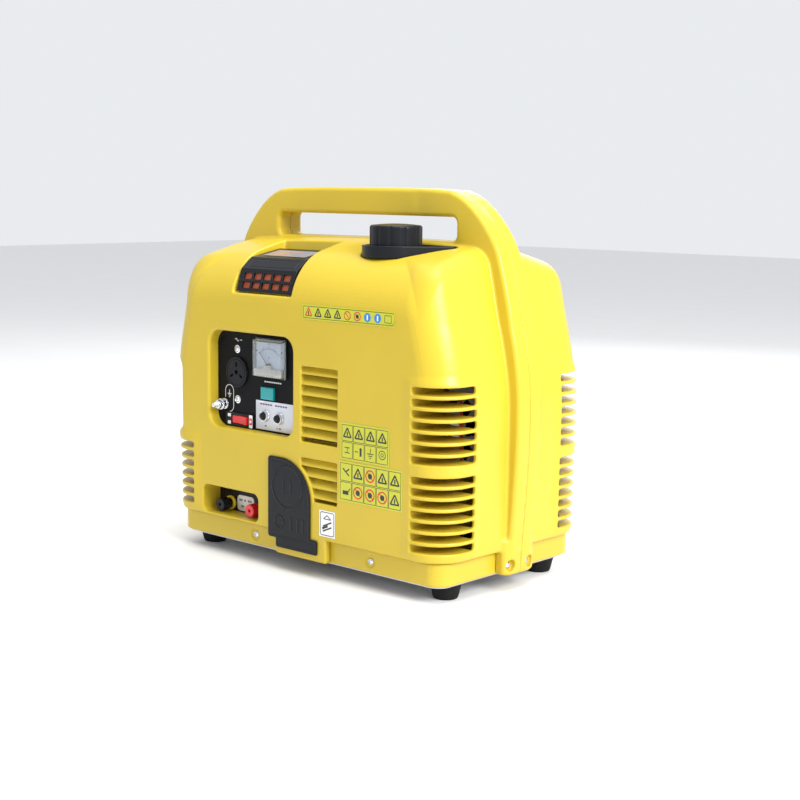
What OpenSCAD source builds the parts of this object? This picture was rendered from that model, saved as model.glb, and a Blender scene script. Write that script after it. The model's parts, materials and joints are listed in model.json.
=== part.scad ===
// Portable petrol generator in a moulded two-shell casing.
// X runs along the length (+X is the alternator end), -Y is the control side, +Z is up.
// The origin lies on the floor, midway between the feet.

/* [Casing] */
// Length over the casing ends, without the proud side bands
case_l = 464; // [460:1:468]
// Depth over the front and rear faces
case_d = 268; // [266:1:270]
// Height over the carrying handle
total_h = 460; // [458:1:462]
// Thickness of the moulded walls
wall = 3; // [2.6:0.1:3.2]
// Radius of the vertical corners
corner_r = 38; // [36:1:40]
// Half width of the band that runs up both ends and forms the handle
band_w = 21; // [20:0.5:22]
// How far the ribs of the vents stand proud of the casing
vent_bulge = 3.5; // [2:0.5:4]

/* [Feet and tray] */
// Height of the rubber feet
foot_h = 18; // [16:1:18]
// Height of the tray's top edge above the floor
tray_top = 48; // [47:0.5:49]

/* [Control panel] */
// Depth of the window in front of the control panel
panel_depth = 16; // [15:0.5:17]
// Depth of the pocket of the direct current posts
pocket_depth = 30; // [29:0.5:31]

/* [Running gear] */
// Height of the crankshaft above the floor
shaft_z = 170; // [169:0.5:171]
// Radius of the crankshaft's journals
shaft_r = 12.5; // [12:0.1:12.5]
// Radius at which the starter rope winds on its reel
rope_wind_r = 30; // [29:0.5:30]

/* [Hidden] */

$fn = 48;
far = 400;
gap = 0.3;

// Casing
half_l = case_l / 2;
half_d = case_d / 2;
front_y = -half_d;
flange_h = 3;
case_top = total_h - 61;
handle_gap = [[-148, case_top], [148, total_h - 33]];
handle_gap_r = 13.5;

// Vents
// pitch, height and lowest place of the slots at the left and the right end
slot_pitch = [11.8, 12.8];
slot_h = [7.5, 8.6];
vent_depth = 10;
vent_front_x = 184;
vent_side_y = -79;
vent_low_z = 59;
vent_high_z = [162.5, 158.8];
vent_slots = 7;
vent_height = (vent_slots - 1) * slot_pitch + slot_h;
louvre_x = [9.5, 69.5];
louvre_pitch = 12.4;
louvre_low = [92, 143];
louvre_low_slats = 4;
louvre_high = [162, 251.5];
louvre_high_slats = 7;

// Window of the control panel
window = [[-155, 162.5], [-5, 283]];
window_r = 18;
panel_y = front_y + panel_depth;
panel_t = 2.5;
panel_back = panel_y + panel_t;
panel_screw_places = [[-147, 268], [-145, 172.5], [-13, 268], [-12, 210]];

// Mains socket
socket = [-118, 231.5];
socket_r = 19;
socket_screws = [[-118.5, 260], [-118, 197.3]];
strap = [[-127, 190], [-109, 267]];

// Voltmeter
meter = [[-82, 229.5], [-28.5, 277.5]];
meter_centre = (meter[0] + meter[1]) / 2;
meter_base_t = 3;
meter_front_y = panel_y - 11;
dial_y = panel_y - meter_base_t;
needle_pivot = [-57.2, 243];
needle_l = 24;

// Circuit breakers, rocker switch and lamp
breakers = [[-66, 182.6], [-41, 181.8]];
breaker_plate_t = 1.2;
collar_r = 7.5;
barrel_r = 7;
button_bore_r = 5;
button_r = 4.65;
rocker_box = [[-139, 163.5], [-88.6, 180.5]];
rocker_c = [-111.5, 172];
rocker_half_l = 14;
rocker_half_h = 6.6;
rocker_room = [rocker_half_l + 1.6, rocker_half_h + 0.3];
rocker_pivot_y = panel_y + 5;
lamp = [[-74, 202], [-51, 218]];

// Earth terminal
ground = [-142.4, 189.5];
ground_tip_y = front_y - 3.5;
ground_nut_y = panel_y - 12.3;
ground_root_r = 2.7;

// Direct current pocket
pocket = [[-168, 51], [-65, 86]];
pocket_r = 9;
pocket_y = front_y + pocket_depth;
posts = [[-147, 60.5], [-92, 60.5]];
knob_r = 8;
stud_r = 2.55;
plug_bore_r = 2.05;
knob_front_y = pocket_y - 19.5;
knob_back_y = pocket_y - 3;

// Oil access cover
cover_t = 2.4;
oil_window = [[-38, 55], [10, 118]];
oil_filler = [-20, 100];

// Cover over the spark plug
plug_cover_x = [-109, -12];
plug_cover_profile = [[-129, 333], [-120, 360.5], [-103.5, 373.7], [-56, 383]];

// Fuel filler
filler = [92, -61];
tray_seat_z = 380;
neck_r = 20.5;
neck_top = 404;
cap_base_z = 392;
cap_r = 31;

// Starter grip recess, cut into the front corner of the left end
grip_recess_x = -half_l + 20;
grip_recess_y = -62;
grip_recess_z = [152, 236];
grip = [-88, shaft_z + rope_wind_r + 4];
grip_back_x = grip_recess_x - 4;

// Running gear
shaft_y = 10;
cylinder_x = -62;
case_x = [-120, -10];
plug_tilt = 50;

// Screws of the casing: places in Y and Z on the end bosses, in X and Z on the rear
boss_screws = [[-17, 31], [17, 31]];
boss_seat_x = half_l - 0.5;
rear_screws = [[-150, 70], [150, 70], [-150, 270], [150, 270]];
rear_seat_y = half_d - 4;
screw_recess_r = 7;

// ---------------------------------------------------------------- helpers

function bezier(p, n) = [
  for (i = [0 : n - 1])
    let (t = i / n, s = 1 - t)
    s * s * s * p[0] + 3 * s * s * t * p[1] + 3 * s * t * t * p[2] + t * t * t * p[3]
];

// Moves every point of an upward, then inward running path by d towards the inside.
function inset_path(path, d) = [
  for (i = [0 : len(path) - 1])
    let (
      before = path[max(i - 1, 0)],
      after = path[min(i + 1, len(path) - 1)],
      along = (after - before) / norm(after - before)
    )
    path[i] + d * [-along[1], along[0]]
];

function mirrored(path) = concat(path, [for (i = [len(path) - 1 : -1 : 0]) [-path[i][0], path[i][1]]]);

// Half outline of the casing seen from the front, from the floor to the top.
function end_profile() = concat(
  [[half_l - 2, 0]],
  bezier([[half_l, 205], [half_l, 245], [half_l - 10, 285], [half_l - 18, 312]], 4),
  [[half_l - 18, 312]],
  bezier([[half_l - 33, 348], [half_l - 41, 370], [half_l - 49, 387], [half_l - 72, 391]], 5),
  bezier([[half_l - 72, 391], [120, 396], [60, case_top], [0, case_top]], 4)
);

// Half outline of the casing seen from its end, from the floor to the top.
function side_profile() = concat(
  [[half_d, 0]],
  bezier([[half_d, 290], [half_d, 318], [half_d - 4, 342], [half_d - 12, 360]], 4),
  bezier([[half_d - 12, 360], [half_d - 22, 379], [half_d - 49, 386], [half_d - 74, 391]], 5),
  bezier([[half_d - 74, 391], [40, 396], [20, case_top], [0, case_top]], 3)
);

// Half outline of the band, from its foot to the top of the handle.
function band_profile() = concat(
  bezier([[half_l + 4, foot_h], [half_l + 9, 80], [half_l + 15, 140], [half_l + 15, 205]], 4),
  bezier([[half_l + 15, 205], [half_l + 15, 245], [half_l + 8, 280], [half_l + 1, 305]], 4),
  bezier([[half_l + 1, 305], [half_l - 6, 335], [half_l - 18, 365], [half_l - 27, 390]], 3),
  bezier([[half_l - 27, 390], [197, total_h - 51], [170, total_h - 11], [140, total_h - 3]], 6),
  bezier([[140, total_h - 3], [110, total_h], [50, total_h], [0, total_h]], 3)
);

// Draws a shape of the X-Z plane out along Y.
module along_y(y0, y1) {
  translate([0, y1, 0]) rotate([90, 0, 0]) linear_extrude(height = y1 - y0) children();
}

// Draws a shape of the Y-Z plane out along X.
module along_x(x0, x1) {
  translate([x0, 0, 0]) rotate([90, 0, 90]) linear_extrude(height = x1 - x0) children();
}

module along_z(z0, z1) {
  translate([0, 0, z0]) linear_extrude(height = z1 - z0) children();
}

module rod_x(yz, r, x0, x1) {
  translate([x0, yz[0], yz[1]]) rotate([0, 90, 0]) cylinder(r = r, h = x1 - x0);
}

module rod_y(xz, r, y0, y1) {
  translate([xz[0], y1, xz[1]]) rotate([90, 0, 0]) cylinder(r = r, h = y1 - y0);
}

module rod_z(xy, r, z0, z1) {
  translate([xy[0], xy[1], z0]) cylinder(r = r, h = z1 - z0);
}

module box(low, high) {
  translate(low) cube(high - low);
}

module round_rect(area, r, grow = 0) {
  low = area[0] - [grow, grow];
  size = area[1] - area[0] + 2 * [grow, grow];
  rr = r + grow;
  translate(low + [rr, 0]) square([size[0] - 2 * rr, size[1]]);
  translate(low + [0, rr]) square([size[0], size[1] - 2 * rr]);
  for (x = [rr, size[0] - rr], y = [rr, size[1] - rr])
    translate(low + [x, y]) circle(r = rr);
}

module rect(area) {
  translate(area[0]) square(area[1] - area[0]);
}

// Eight-sided tube swept through a list of points, for hoses, leads and rope.
module lead(points, r) {
  sides = 8;
  last = len(points) - 1;
  rings = [
    for (i = [0 : last])
      let (
        along = points[min(i + 1, last)] - points[max(i - 1, 0)],
        across = cross(along, [0.2, 0.3, 1]),
        u = across / norm(across),
        w = cross(u, along) / norm(along)
      )
      for (k = [0 : sides - 1])
        points[i] + r * (cos(k * 360 / sides) * u + sin(k * 360 / sides) * w)
  ];
  skin = [
    for (i = [0 : last - 1], k = [0 : sides - 1])
      let (a = i * sides, next = (k + 1) % sides)
      [a + k, a + sides + k, a + sides + next, a + next]
  ];
  ends = [
    [for (k = [0 : sides - 1]) k],
    [for (k = [sides - 1 : -1 : 0]) last * sides + k]
  ];
  polyhedron(points = rings, faces = concat(skin, ends));
}

module pan_screw_y(xz, face_y, head_r, head_h, shank_r, shank_l, side = -1) {
  head = side < 0 ? [face_y - head_h, face_y] : [face_y, face_y + head_h];
  shank = side < 0 ? [face_y, face_y + shank_l] : [face_y - shank_l, face_y];
  difference() {
    rod_y(xz, head_r, head[0], head[1]);
    for (turn = [0, 90])
      translate([xz[0], side < 0 ? head[0] : head[1], xz[1]]) rotate([0, turn, 0])
        cube([head_r * 1.2, head_h, head_r * 0.28], center = true);
  }
  rod_y(xz, shank_r, shank[0], shank[1]);
}

// ---------------------------------------------------------------- casing

module plan(grow = 0) {
  round_rect([[-half_l, -half_d], [half_l, half_d]], corner_r, grow);
}

// The casing's outer solid, or with inset > 0 its cavity.
module case_solid(inset = 0) {
  intersection() {
    along_z(tray_top - (inset > 0 ? 1 : 0), total_h) plan(-inset);
    along_y(-far, far) polygon(mirrored(inset_path(end_profile(), inset)));
    along_x(-far, far) polygon(mirrored(inset_path(side_profile(), inset)));
  }
}

// Outer solid, drawn larger by grow on all sides for what lies on its skin.
module case_skin(grow) {
  intersection() {
    along_z(tray_top, total_h) plan(grow);
    along_y(-far, far) polygon(mirrored(inset_path(end_profile(), -grow)));
    along_x(-far, far) polygon(mirrored(inset_path(side_profile(), -grow)));
  }
}

module band_solid() {
  along_y(-band_w, band_w) difference() {
    polygon(mirrored(band_profile()));
    round_rect(handle_gap, handle_gap_r);
    translate([-half_l + wall, 0]) square([case_l - 2 * wall, tray_top + 1]);
  }
}

module band_cavity() {
  along_y(-band_w + wall, band_w - wall) difference() {
    polygon(mirrored(inset_path(band_profile(), wall)));
    round_rect(handle_gap, handle_gap_r, wall);
    translate([-far, 0]) square([2 * far, tray_top]);
  }
}

// A vent's corner, in the quarter given by the signs, from the heights z0 to z1.
module vent_corner(sx, sy, grow, z0, z1) {
  x = vent_front_x - grow;
  y = -vent_side_y - grow;
  box([sx > 0 ? x : -far, sy > 0 ? y : -far, z0], [sx > 0 ? far : -x, sy > 0 ? far : -y, z1]);
}

// Ribbed block of a vent that stands proud of the corner.
module vent_block(sx, sy, z0, z1) {
  intersection() {
    along_z(z0, z1) difference() {
      plan(vent_bulge);
      plan(-vent_depth);
    }
    vent_corner(sx, sy, wall, z0, z1);
  }
}

// Wide shelves that join the ribs inside the front corner of the right end.
module vent_shelves(z0, z1) {
  intersection() {
    along_z(z0, z1) plan(-wall + 1);
    box([vent_front_x - wall, -far, z0], [far, vent_side_y - 0.5, z1]);
  }
}

module vent_cuts(sx, sy, z0) {
  end = sx > 0 ? 1 : 0;
  for (i = [0 : vent_slots - 1])
    let (z = z0 + i * slot_pitch[end])
      vent_corner(sx, sy, 0, z, z + slot_h[end]);
}

module corner_vent_blocks(sx, sy, rows) {
  height = vent_height[sx > 0 ? 1 : 0];
  for (z0 = rows) vent_block(sx, sy, z0 - wall, z0 + height + wall);
}

// Rim, as deep as the slats, round a louvred opening between the heights in span.
module louvre_rim(span) {
  along_y(front_y, front_y + vent_depth + wall)
    rect([[louvre_x[0] - wall, span[0] - wall], [louvre_x[1] + wall, span[1] + wall]]);
}

module louvre_opening(span) {
  along_y(-far, front_y + 20) rect([[louvre_x[0], span[0]], [louvre_x[1], span[1]]]);
}

// Slats that rise towards the inside, the lowest one at the bottom of the opening.
module louvre_slats(span, slats) {
  for (i = [1 : slats])
    translate([0, front_y, span[1] - i * louvre_pitch])
      along_x(louvre_x[0] - 1, louvre_x[1] + 1)
        polygon([[0.6, 1.4], [0.6, 4], [vent_depth + 2, 14.6], [vent_depth + 2, 12]]);
}

// Side boss that carries the band's foot and its screws.
module side_bosses() {
  for (side = [0, 1]) mirror([side, 0, 0])
    box([222.4, -28, foot_h + 2], [half_l + 4, 28, tray_top + 8]);
}

module boss_screw_holes() {
  for (side = [0, 1]) mirror([side, 0, 0])
    for (s = boss_screws) {
      rod_x(s, 2.1, 210, 260);
      rod_x(s, screw_recess_r, boss_seat_x, 260);
    }
}

function arc(centre, r, from, to, n) = [
  for (i = [0 : n])
    let (a = from + (to - from) * i / n)
    centre + r * [cos(a), sin(a)]
];

// Drip tray outline: a round pan with a tangent tail that points to the rear right.
module tray_outline(grow = 0) {
  pan_r = 39.5;
  tail_r = 9;
  tail_l = 64;
  tangent = acos((pan_r - tail_r) / tail_l);
  translate(filler) rotate(25.5)
    polygon(concat(
      arc([0, 0], pan_r + grow, tangent, 360 - tangent, 40),
      arc([tail_l, 0], tail_r + grow, -tangent, tangent, 12)
    ));
}

// Recess under the plug cover, or with lining > 0 the solid of its walls.
module plug_cover_recess(lining = 0) {
  p = plug_cover_profile;
  foot_z = p[0][1] - 2 - lining;
  back_y = p[3][0] + 10 + lining;
  shift = [lining * 0.9, -17 - lining];
  along_x(plug_cover_x[0] - 3 - lining, plug_cover_x[1] + 3 + lining)
    polygon([[-200, foot_z], [p[0][0] + 4.9 + lining * 0.9, foot_z], p[1] + shift, p[2] + shift,
             p[3] + shift, [back_y, p[3][1] + shift[1] + 2], [back_y, 460], [-200, 460]]);
}

module grip_recess() {
  box([-far, -far, grip_recess_z[0]], [grip_recess_x, grip_recess_y, grip_recess_z[1]]);
}

// Everything both shell halves are cut from.
module casing() {
  difference() {
    union() {
      difference() {
        union() {
          case_solid();
          band_solid();
        }
        case_solid(wall);
        band_cavity();
      }
      // inward flange that stands on the tray's rim
      along_z(tray_top, tray_top + flange_h) difference() {
        plan();
        plan(-16);
      }
      side_bosses();
      corner_vent_blocks(1, -1, [vent_low_z, vent_high_z[1]]);
      corner_vent_blocks(-1, -1, [vent_low_z]);
      corner_vent_blocks(1, 1, [vent_low_z, vent_high_z[1]]);
      corner_vent_blocks(-1, 1, [vent_low_z, vent_high_z[0]]);
      for (z0 = [vent_low_z, vent_high_z[1]]) vent_shelves(z0 - wall, z0 + vent_height[1] + wall);
      louvre_rim(louvre_low);
      louvre_rim(louvre_high);
      // bosses of the rear screws
      for (s = rear_screws) rod_y(s, screw_recess_r + 2, rear_seat_y - wall, half_d - 1);
      // rims of the panel window and of the post pocket
      along_y(front_y, panel_y) round_rect(window, window_r, wall);
      along_y(front_y, pocket_y) round_rect(pocket, pocket_r, wall);
      // apron below the oil access cover
      box([-34, front_y, foot_h + 2], [52, -125.4, tray_top + 1]);
      // seat of the drip tray
      intersection() {
        case_solid();
        along_z(tray_seat_z - wall, total_h) tray_outline(4);
      }
      // lining of the starter grip recess
      intersection() {
        case_solid();
        box([-far, -far, grip_recess_z[0] - wall],
            [grip_recess_x + wall, grip_recess_y + wall, grip_recess_z[1] + wall]);
      }
      // lining of the plug cover's recess
      intersection() {
        case_solid();
        plug_cover_recess(wall);
      }
    }
    for (sy = [-1, 1]) {
      vent_cuts(1, sy, vent_low_z);
      vent_cuts(1, sy, vent_high_z[1]);
      vent_cuts(-1, sy, vent_low_z);
    }
    vent_cuts(-1, 1, vent_high_z[0]);
    difference() {
      louvre_opening(louvre_low);
      louvre_slats(louvre_low, louvre_low_slats);
    }
    difference() {
      louvre_opening(louvre_high);
      louvre_slats(louvre_high, louvre_high_slats);
    }
    along_y(-far, panel_y + 1) round_rect(window, window_r);
    along_y(-far, pocket_y + 1) round_rect(pocket, pocket_r);
    along_y(-far, front_y + 20) rect(oil_window);
    along_y(-far, front_y) oil_cover_outline(1.5);
    along_z(tray_seat_z, far) tray_outline(gap);
    rod_z(filler, 24, tray_seat_z - 10, tray_seat_z + 1);
    grip_recess();
    rod_x(grip, 4, grip_recess_x - 1, grip_recess_x + 10);
    plug_cover_recess();
    // spark plug access
    plug_axis() translate([0, 0, 80]) cylinder(r = 14, h = 60);
    // exhaust outlet in the rear
    rod_y([cylinder_x, 235], 26.2, 120, 150);
    // choke and fuel cock in the left end
    rod_x([50, 290], 3, -250, -200);
    rod_x([-50, 290], 4, -250, -200);
    for (s = rear_screws) {
      rod_y(s, 2.1, 120, 150);
      rod_y(s, screw_recess_r, rear_seat_y, 150);
    }
    boss_screw_holes();
  }
}

module front_shell() {
  color("gold") intersection() {
    casing();
    box([-far, -far, 0], [far, 0, far * 2]);
  }
}

module rear_shell() {
  color("gold") intersection() {
    casing();
    box([-far, 0, 0], [far, far, far * 2]);
  }
}

module base_tray() {
  color("gold") difference() {
    along_z(foot_h + 2, tray_top) round_rect([[-222, -125], [222, 125]], 22);
    along_z(foot_h + 5, far) round_rect([[-219, -122], [219, 122]], 19);
    for (x = [-79, 115]) {
      rod_y([x, 33.5], 2.1, -130, -110);
      rod_y([x, 33.5], 2.1, 110, 130);
    }
    for (side = [-1, 1], s = boss_screws) rod_x(s, 2.1, side * 222 - 8, side * 222 + 8);
    for (x = [-198, 198], y = [-87, 87]) rod_z([x, y], 3, 0, 40);
  }
}

module base_plate() {
  color("lightgray") difference() {
    along_z(foot_h, foot_h + 2) round_rect([[-217, -120], [217, 120]], 18);
    for (x = [-198, 198], y = [-87, 87]) rod_z([x, y], 3, 0, 40);
  }
}

module rubber_feet() {
  color("#202024")
    for (x = [-198, 198], y = [-87, 87])
      translate([x, y, 0]) rotate_extrude()
        polygon([[3, 0], [13.5, 0], [15, 1.5], [19, foot_h - 1], [19, foot_h], [3, foot_h]]);
}

module casing_screws() {
  color("silver") {
    for (x = [-79, 115]) {
      pan_screw_y([x, 33.5], -125, 4.6, 2.4, 2, 12);
      pan_screw_y([x, 33.5], 125, 4.6, 2.4, 2, 12, side = 1);
    }
    for (s = rear_screws) pan_screw_y(s, rear_seat_y, 4.6, 2.4, 2, 8, side = 1);
    for (side = [0, 1]) mirror([side, 0, 0])
      rotate([0, 0, 90])
        for (s = boss_screws) pan_screw_y(s, -boss_seat_x, 4.6, 2.4, 2, 14);
  }
}

// ---------------------------------------------------------------- control panel

module control_panel() {
  color("#1c1c20") difference() {
    along_y(panel_y, panel_back) round_rect(window, window_r, wall);
    rod_y(socket, 17.2, -far, 0);
    for (s = socket_screws) rod_y(s, 2.1, -far, 0);
    for (s = panel_screw_places) rod_y(s, 1.6, -far, 0);
    rod_y(meter_centre, 20.2, -far, 0);
    along_y(-far, 0) rect([lamp[0] + [2, 2], lamp[1] - [2, 2]]);
    for (b = breakers) rod_y(b, barrel_r + 0.2, -far, 0);
    along_y(-far, 0) rect([rocker_box[0] + [3, 1.5], rocker_box[1] - [3, 1.5]]);
    rod_y(ground, 3.1, -far, 0);
  }
}

module panel_screws() {
  color("silver") {
    for (s = panel_screw_places) pan_screw_y(s, panel_y, 3.2, 1.6, 1.5, 8);
    for (s = socket_screws) {
      difference() {
        rod_y(s, 5.2, panel_y - 0.8, panel_y);
        rod_y(s, 1.95, panel_y - 1, panel_y + 1);
      }
      pan_screw_y(s, panel_y - 0.8, 3.7, 2.4, 1.9, 12);
    }
  }
}

module ac_receptacle() {
  color("#18181b") difference() {
    union() {
      rod_y(socket, socket_r, panel_y - 3.2, panel_y);
      rod_y(socket, 17, panel_y, panel_y + 32);
      along_y(panel_back, panel_back + 2) rect(strap);
    }
    for (s = socket_screws) rod_y(s, 2, -far, 0);
    for (turn = [0, 120, 240])
      translate([socket[0], panel_y + 5, socket[1]]) rotate([0, turn + 30, 0]) translate([0, 0, 9.5])
        cube([6.5, 20, 2.2], center = true);
    rod_y(socket, 2.6, panel_y - 10, panel_y + 6);
  }
}

module voltmeter_case() {
  color("#2a2a2e") difference() {
    union() {
      along_y(dial_y, panel_y) rect(meter);
      rod_y(meter_centre, 20, panel_y, panel_y + 30);
    }
    rod_y(meter_centre, 17.5, panel_y + 3, panel_y + 28);
  }
}

module voltmeter_dial() {
  color("white") along_y(dial_y - 0.6, dial_y)
    rect([meter[0] + [3, 3], meter[1] - [3, 3]]);
}

module voltmeter_needle() {
  color("black") {
    rod_y(needle_pivot, 2.2, dial_y - 3, dial_y - 1);
    translate([needle_pivot[0], dial_y - 2, needle_pivot[1]]) rotate([0, -42, 0])
      translate([-0.45, -0.4, 0]) cube([0.9, 0.8, needle_l]);
  }
}

module voltmeter_window() {
  color([0.85, 0.9, 0.95, 0.35]) difference() {
    along_y(meter_front_y, dial_y) rect(meter);
    along_y(meter_front_y + 1.6, dial_y + 1) rect([meter[0] + [1.8, 1.8], meter[1] - [1.8, 1.8]]);
  }
}

module pilot_lamp() {
  color("teal") {
    along_y(panel_y - 3.5, panel_y) rect(lamp);
    along_y(panel_y, panel_y + 14) rect([lamp[0] + [2.2, 2.2], lamp[1] - [2.2, 2.2]]);
  }
}

module breaker_plate() {
  color("whitesmoke") difference() {
    along_y(panel_y - breaker_plate_t, panel_y) intersection() {
      rect([[-84, 165], [-6, 200.5]]);
      round_rect(window, window_r, -0.5);
    }
    for (b = breakers) rod_y(b, barrel_r + 0.2, -far, 0);
  }
}

// Reset breakers: chrome collar, threaded barrel and body.
module circuit_breakers() {
  color("silver") difference() {
    union()
      for (b = breakers) {
        rod_y(b, collar_r, panel_y - 6, panel_y - breaker_plate_t);
        rod_y(b, barrel_r, panel_y - breaker_plate_t, panel_back);
        along_y(panel_back, panel_back + 26) rect([b - [11, 14], b + [11, 14]]);
      }
    for (b = breakers) rod_y(b, button_bore_r, -far, panel_back + 14);
  }
}

module breaker_button(place) {
  color("#151518") {
    rod_y(place, button_r, panel_y - 9, panel_back + 8);
    rod_y(place, 3.6, panel_y - 10, panel_y - 9);
  }
}

module rocker_frame() {
  color("#101012") difference() {
    union() {
      along_y(panel_y - 2.2, panel_y) rect(rocker_box);
      along_y(panel_y, panel_y + 24) rect([rocker_box[0] + [3.2, 1.7], rocker_box[1] - [3.2, 1.7]]);
    }
    along_y(panel_y - 3, panel_y + 16) rect([rocker_c - rocker_room, rocker_c + rocker_room]);
  }
}

// The rocker is stored with its left end pressed in.
module rocker_button() {
  color("red") translate([rocker_c[0], rocker_pivot_y, rocker_c[1] - rocker_half_h]) rotate([0, 0, -7])
    linear_extrude(height = 2 * rocker_half_h) {
      polygon([[-rocker_half_l, -4], [-rocker_half_l, -8.6], [0, -7.2], [rocker_half_l, -8.6],
               [rocker_half_l, -4], [5, 3], [-5, 3]]);
      circle(r = 3.2);
    }
}

module ground_stud() {
  color("silver") {
    rod_y(ground, 3, ground_tip_y, ground_nut_y);
    rod_y(ground, ground_root_r, ground_nut_y, panel_y + 14);
  }
}

module ground_nuts() {
  color("silver") difference() {
    union() {
      for (step = [0, 6.3]) {
        rod_y(ground, 7, panel_y - step - 1.2, panel_y - step);
        translate([ground[0], panel_y - step - 1.2, ground[1]]) rotate([90, 15, 0])
          cylinder(r = 6, h = 4.8, $fn = 6);
      }
      translate([ground[0], panel_back + 5, ground[1]]) rotate([90, 0, 0]) cylinder(r = 6, h = 5, $fn = 6);
    }
    rod_y(ground, ground_root_r, -far, 0);
  }
}

// ---------------------------------------------------------------- direct current posts

module dc_panel() {
  color("#1c1c20") difference() {
    along_y(pocket_y, pocket_y + panel_t) round_rect(pocket, pocket_r, 2.6);
    for (p = posts) rod_y(p, 2.7, -far, 0);
  }
}

module dc_studs() {
  color("goldenrod") for (p = posts) {
    rod_y(p, stud_r, pocket_y - 7.5, pocket_y + 14);
    difference() {
      translate([p[0], pocket_y + panel_t + 4, p[1]]) rotate([90, 0, 0]) cylinder(r = 5, h = 4, $fn = 6);
      rod_y(p, stud_r, -far, 0);
    }
  }
}

module dc_ring() {
  color("yellow") difference() {
    rod_y(posts[0], 9, pocket_y - 2.6, pocket_y);
    rod_y(posts[0], 2.7, -far, 0);
  }
}

module dc_knob(place) {
  difference() {
    union() {
      rod_y(place, knob_r, knob_front_y, knob_back_y);
      for (turn = [0 : 20 : 340])
        translate([place[0], (knob_front_y + knob_back_y) / 2, place[1]]) rotate([0, turn, 0])
          translate([0, 0, knob_r]) cube([1.2, 11, 0.9], center = true);
    }
    rod_y(place, plug_bore_r, knob_front_y - 1, pocket_y - 7.8);
    rod_y(place, stud_r + 0.05, pocket_y - 7.8, 0);
  }
}

module dc_knob_negative() {
  color("#18181b") dc_knob(posts[0]);
}

module dc_knob_positive() {
  color("red") dc_knob(posts[1]);
}

// ---------------------------------------------------------------- labels and covers

// Blank label plates that follow the casing's skin, and the one in the post pocket.
module label_plates() {
  color("khaki") {
    difference() {
      intersection() {
        case_skin(0.5);
        union() {
          along_y(-far, 0) rect([[12.5, 307], [157.5, 324.5]]);
          along_y(-far, 0) rect([[76, 150], [152, 193]]);
          along_y(-far, 0) rect([[74, 101], [172, 148]]);
          along_y(-far, 0) rect([[42, 53.6], [68, 85]]);
        }
      }
      case_solid();
      along_y(-far, 0) oil_cover_outline(2);
    }
    along_y(pocket_y - 0.6, pocket_y) round_rect([[-135, 52.5], [-104, 72.5]], 5);
  }
}

module oil_cover_outline(grow = 0) {
  rect([[-44 - grow, 39.6 - grow], [-22, 139 + grow]]);
  rect([[-44 - grow, 39.6 - grow], [28 + grow, 89]]);
  intersection() {
    translate([-22, 89]) circle(r = 50 + grow, $fn = 64);
    rect([[-23, 88], [40, 150]]);
  }
  round_rect([[-30.5, 28.5], [39.6, 46.7]], 3, grow);
}

module oil_access_cover() {
  back = front_y - gap;
  color("#1a1a1e") difference() {
    union() {
      along_y(back - cover_t, back) oil_cover_outline();
      along_y(back - cover_t - 0.8, back - cover_t) difference() {
        translate([-10, 104]) circle(r = 26.5);
        translate([-10, 104]) circle(r = 24.5);
      }
      rod_y([-24, 60], 8, back - cover_t - 0.8, back - cover_t);
      // plug that snaps into the casing's opening
      along_y(back, front_y + 6) difference() {
        rect([oil_window[0] + [0.5, 0.5], oil_window[1] - [0.5, 0.5]]);
        rect([oil_window[0] + [3, 3], oil_window[1] - [3, 3]]);
      }
    }
    rod_y([-24, 60], 5.5, back - cover_t - 1, back - cover_t);
  }
}

module oil_filler_cap() {
  color("#26262a") difference() {
    rod_y(oil_filler, 17, -112, -98);
    for (turn = [0 : 30 : 330])
      translate([oil_filler[0], -107, oil_filler[1]]) rotate([0, turn, 0]) translate([0, 0, 17.5])
        rotate([90, 0, 0]) cylinder(r = 2, h = 12, center = true, $fn = 24);
    rod_y(oil_filler, 13.1, -109, -97);
  }
}

module top_vent_cover() {
  p = plug_cover_profile;
  // direction of the slotted face, up its slope
  lean = atan2(p[1][1] - p[0][1], p[1][0] - p[0][0]);
  color("#1a1a1e") difference() {
    union() {
      along_x(plug_cover_x[0], plug_cover_x[1])
        polygon([p[0], p[1], p[2], p[3], p[3] - [0, 9], p[3] - [2.5, 9], p[3] - [2.5, 2.8],
                 p[2] + [1.2, -2.8], p[1] + [2.5, -1.4], p[0] + [3, 0]]);
      for (x = [plug_cover_x[0], plug_cover_x[1] - 2.5])
        along_x(x, x + 2.5)
          polygon(concat(p, [p[3] - [0, 9], p[2] - [0, 9], p[1] + [2.5, -9], p[0] + [4, 0]]));
    }
    translate([0, p[0][0], p[0][1]]) rotate([lean - 90, 0, 0])
      for (row = [0, 1], i = [0 : 4])
        translate([plug_cover_x[0] + 8 + i * 17, -6, 4.5 + row * 11.5]) cube([13.5, 12, 7.5]);
  }
}

// Orange heat shroud of the plug, seen behind the cover's slots.
module plug_shroud() {
  p = plug_cover_profile;
  color("orangered") along_x(plug_cover_x[0] + 5, plug_cover_x[1] - 5)
    polygon([p[0] + [4.7, 4], p[1] + [2.2, -3.5], p[1] + [3.7, -3.5], p[0] + [6.2, 4]]);
}

// ---------------------------------------------------------------- fuel

module fuel_cap() {
  color("#1c1c20") translate([filler[0], filler[1], 0]) difference() {
    intersection() {
      along_z(cap_base_z, 420) difference() {
        circle(r = cap_r);
        for (turn = [0 : 30 : 330]) rotate(turn) translate([cap_r + 2, 0]) circle(r = 3.4, $fn = 24);
      }
      rotate_extrude()
        polygon([[0, cap_base_z], [cap_r + 1, cap_base_z], [cap_r + 1, 414], [cap_r - 2.5, 417.6],
                 [cap_r - 7, 419], [0, 419]]);
    }
    translate([0, 0, cap_base_z - 1]) cylinder(r = neck_r + 2, h = neck_top + 2.3 - cap_base_z + 1);
  }
}

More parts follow.
